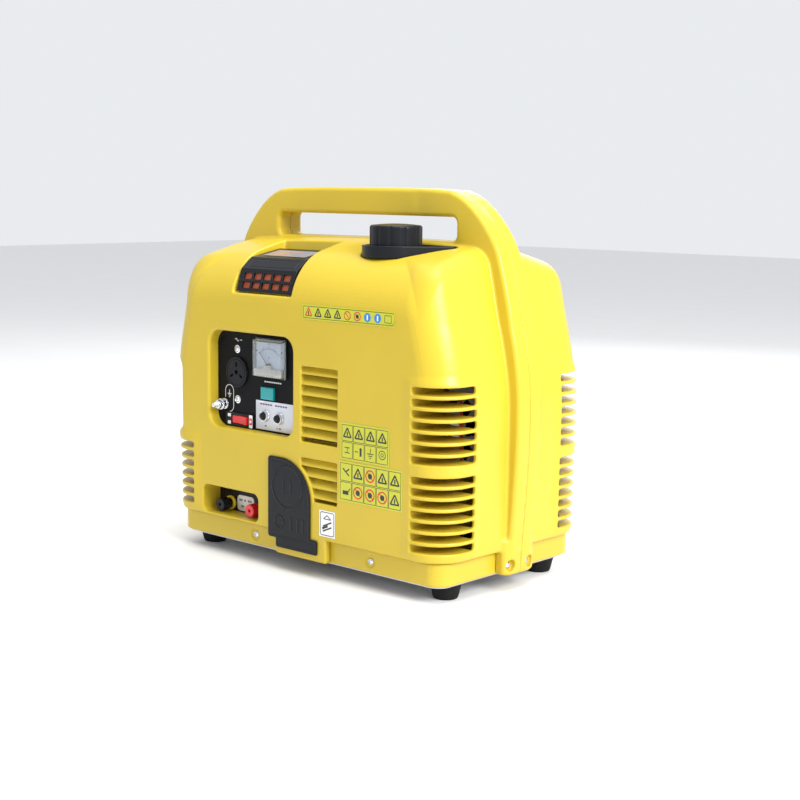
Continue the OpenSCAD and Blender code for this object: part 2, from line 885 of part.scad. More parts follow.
module fuel_cap_gasket() {
  color("#2b2b2b") translate([0, 0, neck_top]) linear_extrude(height = 2) translate(filler) difference() {
    circle(r = neck_r);
    circle(r = 14);
  }
}

module fuel_drip_tray() {
  color("#1c1c20") difference() {
    union() {
      difference() {
        along_z(tray_seat_z, tray_seat_z + 14) tray_outline();
        along_z(tray_seat_z + 3, far * 2) tray_outline(-2.5);
      }
      rod_z(filler, 27.5, tray_seat_z, tray_seat_z + 9);
    }
    rod_z(filler, 24.5, 300, 500);
  }
}

module fuel_tank() {
  tank = [[2, -98], [182, 98]];
  color("#3a3a3e") difference() {
    union() {
      along_z(292, 366) round_rect(tank, 28);
      rod_z(filler, neck_r, 360, neck_top);
      rod_z([30, 60], 3, 286, 293);
    }
    along_z(295, 363) round_rect(tank, 28, -wall);
    rod_z(filler, 18, 360, neck_top + 1);
  }
}

module fuel_cock_lever() {
  color("#1c1c20") {
    rod_x([-50, 290], 12, -238, -228);
    rod_x([-50, 290], 3.7, -228, -196);
    box([-246, -53, 276], [-238, -47, 304]);
  }
}

module fuel_hose() {
  color("#151515") {
    lead([[30, 60, 285.7], [30, 60, 281], [26, 61, 277], [10, 64, 276], [-4, 66, 284], [-12, 66, 302],
          [-26, 66, 320], [-170, 62, 322], [-192, 40, 318], [-196, -20, 304], [-196, -42, 294]], 3);
  }
}

module choke_knob() {
  color("#1c1c20") {
    rod_x([50, 290], 9, -240, -228);
    rod_x([50, 290], 2.7, -228, -196);
  }
}

// ---------------------------------------------------------------- recoil starter

module recoil_grip() {
  color("#1c1c20") {
    box([grip_back_x - 12, grip[0] - 9, grip[1] - 28], [grip_back_x, grip[0] + 9, grip[1] + 28]);
    rod_x(grip, 7, grip_back_x, grip_recess_x - gap);
  }
}

module starter_rope() {
  color("white") rod_x(grip, 2, grip_recess_x - gap, grip_recess_x + 8);
}

module rope_run() {
  color("white") {
    rod_y([-201, grip[1]], 1.9, grip[0] - 2, shaft_y);
    translate([-201, shaft_y, shaft_z]) rotate([0, 90, 0])
      rotate_extrude() translate([rope_wind_r, 0]) circle(r = 2);
  }
}

module recoil_housing() {
  color("#55565a") difference() {
    rod_x([shaft_y, shaft_z], 85, -220, -146);
    rod_x([shaft_y, shaft_z], 82, -217.5, -140);
    for (turn = [0 : 30 : 330]) translate([-230, shaft_y, shaft_z]) rotate([turn, 0, 0])
      box([0, -6, 42], [14, 6, 74]);
    // room for the lining of the grip's recess, and the slot the rope leaves by
    box([-far, -far, grip_recess_z[0] - wall - gap],
        [grip_recess_x + wall + gap, grip_recess_y + wall + gap, grip_recess_z[1] + wall + gap]);
    box([-212, -100, 188], [-190, -40, 212]);
  }
  color("#55565a") rod_x([shaft_y, shaft_z], 6, -217.5, -193);
}

module recoil_reel() {
  color("#e8e4da") difference() {
    union() {
      rod_x([shaft_y, shaft_z], 36, -208, -204.5);
      rod_x([shaft_y, shaft_z], rope_wind_r - 2.3, -204.5, -197.5);
      rod_x([shaft_y, shaft_z], 36, -197.5, -194);
    }
    rod_x([shaft_y, shaft_z], 6.05, -230, -180);
  }
}

// ---------------------------------------------------------------- engine

module flywheel_fan() {
  color("silver") difference() {
    union() {
      rod_x([shaft_y, shaft_z], 70, -160, -150);
      rod_x([shaft_y, shaft_z], 22, -184, -150);
      for (turn = [0 : 30 : 330]) translate([0, shaft_y, shaft_z]) rotate([turn, 0, 0])
        box([-180, -1.5, 34], [-158, 1.5, 69]);
    }
    rod_x([shaft_y, shaft_z], shaft_r, -200, -140);
  }
}

module crankshaft() {
  color("gray") {
    rod_x([shaft_y, shaft_z], shaft_r, -186, -86);
    rod_x([shaft_y, shaft_z], 32, -86, -74);
    rod_x([shaft_y, shaft_z + 18], 9, -74, -50);
    rod_x([shaft_y, shaft_z], 32, -50, -38);
    rod_x([shaft_y, shaft_z], shaft_r, -38, 124);
  }
}

module crankcase() {
  color("darkgray") difference() {
    union() {
      rod_x([shaft_y, shaft_z], 56, case_x[0], case_x[1]);
      box([case_x[0] + 5, -42, 88], [case_x[1] - 5, 62, shaft_z]);
      rod_y(oil_filler, 13, -106, -20);
      box([cylinder_x - 34, shaft_y - 34, shaft_z], [cylinder_x + 34, shaft_y + 34, 228]);
    }
    rod_x([shaft_y, shaft_z], 48, case_x[0] + 8, case_x[1] - 8);
    rod_x([shaft_y, shaft_z], shaft_r + 0.05, -200, 50);
    box([case_x[0] + 12, -36, 94], [case_x[1] - 12, 56, shaft_z]);
    rod_z([cylinder_x, shaft_y], 26.2, 200, 240);
    rod_y(oil_filler, 10, -110, -30);
  }
}

module engine_cylinder() {
  color("silver") difference() {
    union() {
      rod_z([cylinder_x, shaft_y], 30, 228, 284);
      rod_z([cylinder_x, shaft_y], 26, 206, 228);
      for (i = [0 : 5]) along_z(234 + i * 8, 236.5 + i * 8)
        round_rect([[cylinder_x - 45, shaft_y - 45], [cylinder_x + 45, shaft_y + 45]], 12);
      box([cylinder_x + 28, shaft_y - 12, 244], [cylinder_x + 45, shaft_y + 12, 268]);
      box([cylinder_x - 12, shaft_y + 28, 250], [cylinder_x + 12, shaft_y + 45, 270]);
    }
    rod_z([cylinder_x, shaft_y], 22, 200, 300);
  }
}

module plug_axis() {
  translate([cylinder_x, shaft_y - 6, 296]) rotate([plug_tilt, 0, 0]) children();
}

module cylinder_head() {
  color("silver") difference() {
    union() {
      rod_z([cylinder_x, shaft_y], 34, 284, 306);
      for (i = [0 : 2]) along_z(287 + i * 7, 289.5 + i * 7)
        round_rect([[cylinder_x - 45, shaft_y - 45], [cylinder_x + 45, shaft_y + 45]], 12);
    }
    plug_axis() {
      cylinder(r = 7, h = 60, center = true);
      translate([0, 0, 12]) cylinder(r = 12, h = 40);
    }
  }
}

module spark_plug() {
  color("ivory") plug_axis() {
    translate([0, 0, -8]) cylinder(r = 7, h = 20);
    translate([0, 0, 12]) cylinder(r = 10.4, h = 8, $fn = 6);
    translate([0, 0, 20]) cylinder(r = 6, h = 24);
  }
}

module plug_boot() {
  color("#202020") plug_axis() difference() {
    union() {
      translate([0, 0, 24]) cylinder(r = 9.5, h = 26);
      translate([-26, 0, 43]) rotate([0, 90, 0]) cylinder(r = 5.5, h = 26);
    }
    translate([0, 0, 20]) cylinder(r = 6, h = 24);
  }
}

module carburetor() {
  color("lightgray") {
    rod_x([shaft_y, 257], 11, cylinder_x + 45, 25);
    box([-8, shaft_y - 16, 250], [18, shaft_y + 16, 274]);
    rod_z([5, shaft_y], 12, 244, 250);
  }
}

module air_cleaner() {
  color("#2a2a2e") along_z(244, 288) difference() {
    round_rect([[25, -34], [112, 54]], 12);
    round_rect([[29, -30], [108, 50]], 8);
  }
  color("#2a2a2e") along_z(284, 288) round_rect([[25, -34], [112, 54]], 12);
}

module muffler() {
  color("#77797d") difference() {
    union() {
      along_x(-114, -12) round_rect([[74, 196], [112, 282]], 14);
      rod_y([cylinder_x, 235], 14, 112, 130.5);
      rod_y([cylinder_x, 260], 9, shaft_y + 45, 76);
    }
    along_x(-112, -14) round_rect([[76, 198], [110, 280]], 12);
    rod_y([cylinder_x, 235], 12, 105, 140);
  }
}

module exhaust_grille() {
  color("#3a3b3e") difference() {
    rod_y([cylinder_x, 235], 26, 130.5, 134);
    for (i = [-2 : 2]) along_y(120, 150)
      rect([[cylinder_x - 16 + 3 * abs(i), 233 + i * 8], [cylinder_x + 16 - 3 * abs(i), 237 + i * 8]]);
  }
}

module alternator_stator() {
  color("dimgray") difference() {
    union() {
      rod_x([shaft_y, shaft_z], 62, -10, 18);
      rod_x([shaft_y, shaft_z], 70, 18, 106);
      rod_x([shaft_y, shaft_z], 62, 106, 122);
      box([40, -22, 88], [90, 42, 110]);
    }
    rod_x([shaft_y, shaft_z], 54, -11, 18);
    rod_x([shaft_y, shaft_z], 48.5, 17, 110);
    rod_x([shaft_y, shaft_z], shaft_r + 0.05, 100, 130);
    for (turn = [0 : 45 : 315]) translate([0, shaft_y, shaft_z]) rotate([turn, 0, 0])
      box([109, -9, 26], [130, 9, 46]);
  }
}

module alternator_rotor() {
  color("peru") difference() {
    rod_x([shaft_y, shaft_z], 47.6, 26, 100);
    rod_x([shaft_y, shaft_z], shaft_r, 20, 110);
    for (turn = [0, 180])
      translate([0, shaft_y, shaft_z]) rotate([turn, 0, 0]) box([20, -18, 30], [110, 18, 60]);
  }
}

module engine_cradle() {
  color("#4a4b4e") difference() {
    union() {
      box([-118, -46, 48], [102, 68, 52]);
      box([-112, -40, 52], [-24, 60, 88]);
      box([42, -20, 52], [88, 40, 88]);
    }
    box([-120, -36, 53], [-20, 56, 84]);
    box([40, -16, 53], [95, 36, 84]);
  }
}

module engine_mounts() {
  color("#202024") for (x = [-104, 88], y = [-32, 54]) rod_z([x, y], 13, 23, 48);
}

// Leads from the alternator to the control panel and the posts, and the plug lead.
module wiring_harness() {
  lead_r = 2.2;
  color("seagreen") lead([[125, -20, 215], [160, -48, 232], [196, -64, 222], [203, -69, 170],
                          [196, -62, 112], [150, -90, 96], [60, -100, 96]], lead_r);
  color("orangered") lead([[125, -30, 205], [160, -62, 206], [186, -72, 196], [194, -74, 140],
                           [188, -71, 86], [140, -94, 70], [-60, -84, 70], [-93, -84, 66]], lead_r);
  color("red") lead([[125, -10, 225], [140, -70, 240], [150, -104, 262], [60, -104, 268],
                     [-20, -84, 268]], lead_r);
}

front_shell();
rear_shell();
base_tray();
base_plate();
rubber_feet();
casing_screws();
control_panel();
panel_screws();
ac_receptacle();
voltmeter_case();
voltmeter_dial();
voltmeter_needle();
voltmeter_window();
pilot_lamp();
breaker_plate();
circuit_breakers();
breaker_button(breakers[0]);  // breaker_button_left
breaker_button(breakers[1]);  // breaker_button_right
rocker_frame();
rocker_button();
ground_stud();
ground_nuts();
dc_panel();
dc_studs();
dc_ring();
dc_knob_negative();
dc_knob_positive();
label_plates();
oil_access_cover();
oil_filler_cap();
top_vent_cover();
plug_shroud();
fuel_cap();
fuel_cap_gasket();
fuel_drip_tray();
fuel_tank();
fuel_cock_lever();
fuel_hose();
choke_knob();
recoil_grip();
starter_rope();
rope_run();
recoil_housing();
recoil_reel();
flywheel_fan();
crankshaft();
crankcase();
engine_cylinder();
cylinder_head();
spark_plug();
plug_boot();
carburetor();
air_cleaner();
muffler();
exhaust_grille();
alternator_stator();
alternator_rotor();
engine_cradle();
engine_mounts();
wiring_harness();
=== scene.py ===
import json
import math
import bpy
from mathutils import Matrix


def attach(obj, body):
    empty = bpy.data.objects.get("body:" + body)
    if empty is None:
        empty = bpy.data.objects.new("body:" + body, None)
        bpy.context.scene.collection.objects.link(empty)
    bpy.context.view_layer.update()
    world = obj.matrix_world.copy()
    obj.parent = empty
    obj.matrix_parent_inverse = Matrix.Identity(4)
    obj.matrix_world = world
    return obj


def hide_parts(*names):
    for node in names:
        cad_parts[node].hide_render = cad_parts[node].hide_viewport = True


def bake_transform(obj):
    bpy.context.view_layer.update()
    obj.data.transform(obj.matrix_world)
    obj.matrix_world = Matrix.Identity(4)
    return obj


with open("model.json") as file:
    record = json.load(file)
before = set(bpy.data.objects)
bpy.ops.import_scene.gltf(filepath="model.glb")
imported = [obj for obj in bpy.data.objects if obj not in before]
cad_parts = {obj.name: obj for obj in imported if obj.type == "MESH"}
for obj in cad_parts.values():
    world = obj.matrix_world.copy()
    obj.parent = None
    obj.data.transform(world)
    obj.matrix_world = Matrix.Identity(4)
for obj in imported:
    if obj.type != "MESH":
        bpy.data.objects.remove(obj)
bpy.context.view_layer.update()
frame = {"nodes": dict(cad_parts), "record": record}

from concurrent.futures import ThreadPoolExecutor

import bpy
import numpy as np
import openvdb
from mathutils import Matrix, Vector

MM = 0.001

# ------------------------------------------------------------ signed distances
# All fields are in millimetres in the row frame and negative inside. x, y and z are
# arrays that broadcast against each other, so a flat outline costs only a flat array.


def round_union(a, b, r):
    """Union whose inner corner is a fillet of radius r."""
    blend = np.sqrt(np.maximum(r - a, 0) ** 2 + np.maximum(r - b, 0) ** 2)
    return np.maximum(r, np.minimum(a, b)) - blend


def round_common(a, b, r):
    """Intersection whose outer corner is rounded to radius r."""
    blend = np.sqrt(np.maximum(r + a, 0) ** 2 + np.maximum(r + b, 0) ** 2)
    return np.minimum(-r, np.maximum(a, b)) + blend


def round_cut(a, b, r):
    """a less b, with the cut's rim rounded to radius r."""
    return round_common(a, -b, r)


def slab(v, low, high):
    """Negative between low and high."""
    return np.abs(v - (low + high) / 2) - (high - low) / 2


def disc(u, v, centre, r):
    """Negative within r of the centre; with r at 0, the distance from it."""
    return np.sqrt((u - centre[0]) ** 2 + (v - centre[1]) ** 2) - r


def round_box(u, v, low, high, r):
    qu = slab(u, low[0], high[0]) + r
    qv = slab(v, low[1], high[1]) + r
    outside = np.sqrt(np.maximum(qu, 0) ** 2 + np.maximum(qv, 0) ** 2)
    return outside + np.minimum(np.maximum(qu, qv), 0) - r


def polygon(u, v, points):
    """Distance to a closed polygon in the u-v plane."""
    shape = np.broadcast_shapes(u.shape, v.shape)
    best = np.full(shape, 1e9, np.float32)
    inside = np.zeros(shape, bool)
    for (au, av), (bu, bv) in zip(points, points[1:] + points[:1]):
        du, dv = bu - au, bv - av
        t = np.clip(((u - au) * du + (v - av) * dv) / (du * du + dv * dv), 0, 1)
        best = np.minimum(best, (u - au - t * du) ** 2 + (v - av - t * dv) ** 2)
        if dv:
            crossing = ((av > v) != (bv > v)) & (u < au + (v - av) * du / dv)
            inside ^= crossing
    return np.sqrt(best) * np.where(inside, np.float32(-1), np.float32(1))


def smooth_step(v, low, high):
    t = np.clip((v - low) / (high - low), 0, 1)
    return t * t * (3 - 2 * t)


def bezier(p0, p1, p2, p3, count=8):
    """Points of a cubic curve, its last point left out."""
    points = []
    for i in range(count):
        t = i / count
        s = 1 - t
        points.append(tuple(s**3 * a + 3 * s * s * t * b + 3 * s * t * t * c + t**3 * d
                            for a, b, c, d in zip(p0, p1, p2, p3)))
    return points


def read_field(shape, axes):
    """The field on the whole grid, worked out in slices on all the processor's cores."""
    y, z = axes[1][None, :, None], axes[2][None, None, :]

    def one_slice(xs):
        grid = (len(xs), len(axes[1]), len(axes[2]))
        return np.broadcast_to(shape(xs[:, None, None], y, z), grid).astype(np.float32)

    slices = np.array_split(axes[0], max(1, len(axes[0]) // 12))
    with ThreadPoolExecutor() as pool:
        return np.concatenate(list(pool.map(one_slice, slices)))


def moulded(name, low, high, step, shape, keep=1.0):
    """Meshes a field on a grid of that step, with normals taken from the field itself.

    keep is the part of the triangles that stays; flat places lose theirs first."""
    low = np.array(low, float)
    count = np.ceil((np.array(high) - low) / step).astype(int) + 1
    axes = [(low[i] + step * np.arange(count[i])).astype(np.float32) for i in range(3)]
    field = read_field(shape, axes) / np.float32(step)
    grid = openvdb.FloatGrid(4.0)
    grid.copyFromArray(np.clip(field, -4, 4))
    points, quads = grid.convertToQuads(0.0)
    mesh = bpy.data.meshes.new(name)
    mesh.vertices.add(len(points))
    mesh.vertices.foreach_set("co", ((points * step + low) * MM).astype(np.float32).ravel())
    mesh.loops.add(quads.size)
    mesh.loops.foreach_set("vertex_index", quads.astype(np.int32).ravel())
    mesh.polygons.add(len(quads))
    mesh.polygons.foreach_set("loop_start", np.arange(0, quads.size, 4, dtype=np.int32))
    mesh.update(calc_edges=True)
    mesh.validate()
    piece = bpy.data.objects.new(name, mesh)
    bpy.context.collection.objects.link(piece)
    if keep < 1:
        thin = piece.modifiers.new("thin", "DECIMATE")
        thin.ratio = keep
        apply_modifiers(piece)
    mesh = piece.data
    mesh.shade_smooth()
    kept = np.empty(len(mesh.vertices) * 3, np.float32)
    mesh.vertices.foreach_get("co", kept)
    at = (kept.reshape(-1, 3) / MM - low) / step
    mesh.normals_split_custom_set_from_vertices(normals(field, at))
    return piece


def apply_modifiers(piece):
    """Replaces the piece's mesh by what its modifiers make of it."""
    graph = bpy.context.evaluated_depsgraph_get()
    mesh = bpy.data.meshes.new_from_object(piece.evaluated_get(graph))
    piece.modifiers.clear()
    old = piece.data
    piece.data = mesh
    mesh.name = old.name
    bpy.data.meshes.remove(old)


def normals(field, points):
    """Unit gradient of the field at grid points, by central differences over one step."""
    top = np.array(field.shape) - 1.001
    out = np.empty(points.shape, np.float32)
    for axis in range(3):
        ahead, behind = points.copy(), points.copy()
        ahead[:, axis] += 0.7
        behind[:, axis] -= 0.7
        out[:, axis] = sample(field, np.clip(ahead, 0, top)) - sample(field, np.clip(behind, 0, top))
    return out / np.maximum(np.linalg.norm(out, axis=1, keepdims=True), 1e-6)


def sample(field, points):
    """Trilinear reading of the field at fractional grid places."""
    cell = points.astype(int)
    part = points - cell
    total = np.zeros(len(points), np.float32)
    for dx in (0, 1):
        for dy in (0, 1):
            for dz in (0, 1):
                weight = (np.abs(1 - dx - part[:, 0]) * np.abs(1 - dy - part[:, 1])
                          * np.abs(1 - dz - part[:, 2]))
                total += weight * field[cell[:, 0] + dx, cell[:, 1] + dy, cell[:, 2] + dz]
    return total


# ------------------------------------------------------------ casing

WALL = 3
HALF_L, HALF_D = 232, 134
BAND = 21
TRAY_TOP, FOOT_H = 48, 18

END_WALL = (
    [(-300, -100), (HALF_L - 1, -100)]
    + bezier((HALF_L - 1, 48), (HALF_L, 110), (HALF_L, 160), (HALF_L, 205))
    + bezier((HALF_L, 205), (HALF_L, 245), (222, 285), (214, 312))
    + [(214, 312), (206, 348), (196, 389), (160, 520), (-300, 520)]
)
BAND_OUTLINE = (
    [(-300, FOOT_H)]
    + bezier((236, FOOT_H), (241, 80), (247, 140), (247, 205))
    + bezier((247, 205), (247, 245), (240, 280), (233, 305))
    + bezier((233, 305), (228, 335), (219, 365), (211, 390))
    + bezier((211, 390), (202, 411), (172, 449), (140, 456.8))
    + bezier((140, 456.8), (110, 459.7), (50, 459.7), (0, 459.7))
    + [(-300, 459.7)]
)
# recessed screws: tray pan, end bosses and rear face
PAN_SCREW_X, PAN_SCREW_Z = (-79, 115), 33.5
BOSS_SCREW_Y, BOSS_SCREW_Z = (-17, 17), 31
REAR_SCREWS = tuple((px, pz) for px in (-150, 150) for pz in (70, 270))
WINDOW = ((-155, 162.5), (-5, 283))
POCKET = ((-168, 51), (-65, 86))
# louvred openings: low corner, high corner, number of slats
LOUVRES = (((9.5, 162), (69.5, 251.5), 7), ((9.5, 92), (69.5, 143), 4))
LOUVRE_PITCH, LOUVRE_THICKNESS = 12.4, 1.9
LOUVRE_SLOPE = 0.93
LOUVRE_COS = 0.732
# corner vents: end of the casing, lowest slot, slot pitch, slot height
VENTS = ((1, 59, 12.8, 8.6), (1, 158.8, 12.8, 8.6), (-1, 59, 11.8, 7.5), (-1, 162.5, 11.8, 7.5))
SLOTS = 7
OIL_WINDOW = ((-38, 55), (10, 118))
FILLER = (92, -61)
EXHAUST = (-62, 235)
# centres of the parts on the left end, as (y, z)
CHOKE = (50, 290)
FUEL_COCK = (-50, 290)
GRIP = (-88, 204)


def casing_outside(x, y, z):
    """The whole casing as one smooth solid, before anything is cut into it."""
    ax, ay = np.abs(x), np.abs(y)
    # the left end leans in less than the right one
    left = smooth_step(-x, 60, 180)
    body_x = ax - left * (6 * smooth_step(z, 100, 180) + 3 * smooth_step(z, 280, 340))
    band_x = ax - left * 5 * smooth_step(z, 290, 350)
    bow = 2.0 * (ay / HALF_D) ** 2 * smooth_step(-z, -260, -60)
    end = polygon(body_x, z, END_WALL) + bow
    side = ay - HALF_D + 1.2 * (ax / HALF_L) ** 2
    corners = round_common(end, side, 38)
    drop = 4 * (ax / 156) ** 2 + np.where(ay < 60, 8 * (ay / 60) ** 2, 8 + 0.267 * (ay - 60))
    top = (z - 399 + drop) * 0.97
    r = 18 + 32 * np.clip((side - end) / 40 + 0.5, 0, 1)
    body = round_common(corners, top, r)
    body = round_common(body, TRAY_TOP - z, 2.5)
    hole = round_box(ax, z, (-148, 399), (148, 427), 8)
    band = np.maximum(polygon(band_x, z, BAND_OUTLINE), -hole)
    band = round_common(band, ay - BAND, 5)
    band = round_common(band, FOOT_H + 2 - z, 2.5)
    body = round_union(body, band, 3)
    boss = round_common(round_box(ax, y, (180, -28), (236, 28), 6), slab(z, FOOT_H + 2, 62), 4)
    body = round_union(body, boss, 4)
    apron = round_common(round_box(x, z, (-34, FOOT_H + 2), (52, 60), 3), slab(y, -HALF_D, -110), 3)
    return np.minimum(body, apron)


def vent_zones(x, y, z):
    """1 where the ribbed corners stand proud of the casing, 0 elsewhere."""
    ax, ay = np.abs(x), np.abs(y)
    corner = smooth_step(ax, 168, 186) * smooth_step(ay, 66, 84)
    low = smooth_step(z, 46, 58) * (1 - smooth_step(z, 143, 155))
    high = smooth_step(z, 143, 155) * (1 - smooth_step(z, 246, 258))
    blank = (x < 0) & (y < 0)
    return corner * (low + np.where(blank, 0, high))


def casing_shell(x, y, z):
    """Both halves of the casing: walls, pockets, windows and vents."""
    ax, ay = np.abs(x), np.abs(y)
    outside = casing_outside(x, y, z) - 2.0 * vent_zones(x, y, z)
    cavity = casing_outside(x, y, z) + WALL
    far = np.float32(1e3)

    def pocket(field, rim, lining=WALL):
        nonlocal outside, cavity
        outside = round_cut(outside, field, rim)
        cavity = np.maximum(cavity, -(field - lining))

    def opening(field, rim):
        nonlocal outside
        outside = round_cut(outside, field, rim)

    # control panel window and post pocket
    pocket(np.maximum(round_box(x, z, *WINDOW, 18), y + 115), 3.5)
    pocket(np.maximum(round_box(x, z, *POCKET, 9), y + 101.2), 2)
    # hand recess of the starter grip, round the front left corner
    grip = round_common(round_common(x + 212, y + 62, 12), slab(z, 152, 236), 9)
    pocket(grip, 6)
    # recess of the spark plug cover
    floor = [(-150, 331), (-124.1, 331), (-120, 343.5), (-103.5, 356.7), (-56, 366), (-46, 368), (-40, 420),
             (-150, 420)]
    plug = round_common(polygon(y, z, floor), slab(x, -112, -9), 3)
    pocket(plug, 2)
    # seat of the drip tray
    pocket(np.maximum(tray_outline(x, y) - 0.6, 379.6 - z), 2)
    neck = np.maximum(disc(x, y, FILLER, 24), 370 - z)
    # louvred openings; the oil access cover overlaps the lower one
    for low, high, _ in LOUVRES:
        window = round_box(x, z, low, high, 1.5)
        if low[1] < 100:
            window = np.maximum(window, -(cover_outline(x, z) - 3.2))
        pocket(np.maximum(window, y + 121), 1.2)
        opening(np.maximum(window + 2, y + 100), 0.1)
    # opening behind the oil access cover
    opening(np.maximum(round_box(x, z, *OIL_WINDOW, 3), y + 110), 0.4)
    # corner vents; those at the front right are deep shelves
    for end, low, pitch, height in VENTS:
        along = end * x
        wedge = 225.7 - 0.738 * along - 0.675 * ay
        if end > 0:
            wedge = np.where(y < 0, 79.5 - ay, wedge)
        block = np.maximum(wedge, slab(z, low - 3, low + (SLOTS - 1) * pitch + height + 3))
        block = np.maximum(block, np.maximum(181 - along, 76 - ay))
        number = np.clip(np.round((z - low - height / 2) / pitch), 0, SLOTS - 1)
        slot = np.abs(z - low - height / 2 - number * pitch) - height / 2
        slot = round_common(round_common(184 - along, 79 - ay, 0.5), slot, 2.6)
        if end < 0 and low > 100:
            block = np.where(y < 0, far, block)
            slot = np.where(y < 0, far, slot)
        cavity = np.maximum(cavity, -block)
        opening(slot, 1.4)
    # screw recesses: side bosses and rear face
    for py in BOSS_SCREW_Y:
        pocket(np.maximum(disc(y, z, (py, BOSS_SCREW_Z), 7), 231.5 - ax), 1)
    for place in REAR_SCREWS:
        pocket(np.maximum(disc(x, z, place, 7), 131.6 - y), 1)
    # exhaust outlet, choke and fuel cock
    opening(np.maximum(disc(x, z, EXHAUST, 26.4), 120 - y), 1.2)
    for place in (CHOKE, FUEL_COCK):
        opening(np.maximum(disc(y, z, place, 4), x + 190), 0.5)
    hollow = np.maximum(outside, -cavity)
    hollow = np.maximum(hollow, -neck)
    tray_room = np.maximum(np.maximum(ax - 222.4, ay - 125.3), z - TRAY_TOP)
    hollow = np.maximum(hollow, -tray_room)
    # slats that rise towards the inside
    for low, high, slats in LOUVRES:
        fall = high[1] - z + LOUVRE_SLOPE * (y + 133.4) + 2.7
        number = np.clip(np.round(fall / LOUVRE_PITCH), 1, slats)
        half = LOUVRE_THICKNESS / 2
        slat = np.abs(fall - number * LOUVRE_PITCH) * LOUVRE_COS - half
        slat = round_common(slat, slab(y, -133.2, -121), 0.5)
        slat = np.maximum(slat, round_box(x, z, (low[0] - 1, low[1]), (high[0] + 1, high[1]), 1))
        if low[1] < 100:
            slat = np.maximum(slat, -(cover_outline(x, z) - 2))
        hollow = np.minimum(hollow, slat)
    return hollow


def tray_outline(x, y):
    """Round pan with a tail towards the rear right."""
    turn = math.radians(25.5)
    u = (x - FILLER[0]) * math.cos(turn) + (y - FILLER[1]) * math.sin(turn)
    v = -(x - FILLER[0]) * math.sin(turn) + (y - FILLER[1]) * math.cos(turn)
    pan = np.sqrt(u * u + v * v) - 39.5
    tail = polygon(u, v, [(18.8, -34.7), (68.3, -7.9), (68.3, 7.9), (18.8, 34.7)])
    tip = np.sqrt((u - 64) ** 2 + v * v) - 9
    return np.minimum(np.minimum(pan, tail), tip)


def cover_outline(x, z):
    """Outline of the oil access cover: one big round shoulder and a tab below."""
    upper = round_box(x, z, (-44, 39.6), (28, 139), 4)
    shoulder = np.sqrt(np.maximum(x + 22, 0) ** 2 + np.maximum(z - 89, 0) ** 2) - 50
    upper = np.maximum(upper, np.where((x > -22) & (z > 89), shoulder, -1e3))
    tab = round_box(x, z, (-30.5, 28.5), (39.6, 46.7), 3)
    return np.minimum(upper, tab)


def shell_half(name, sign, step):
    """One half of the casing, its parting edge slightly rounded."""
    def shape(x, y, z):
        return round_common(casing_shell(x, y, z), -sign * y, 0.3)
    low, high = [-250, -142, 16], [250, 142, 463]
    if sign < 0:
        high[1] = 2
    else:
        low[1] = -2
    return moulded(name, low, high, step, shape, keep=0.22)


# ------------------------------------------------------------ materials


def scaled_colour(colour, factor):
    """The colour darkened (factor below 1) or brightened, kept in range and given an alpha."""
    return tuple(min(1.0, c * factor) for c in colour) + (1.0,)


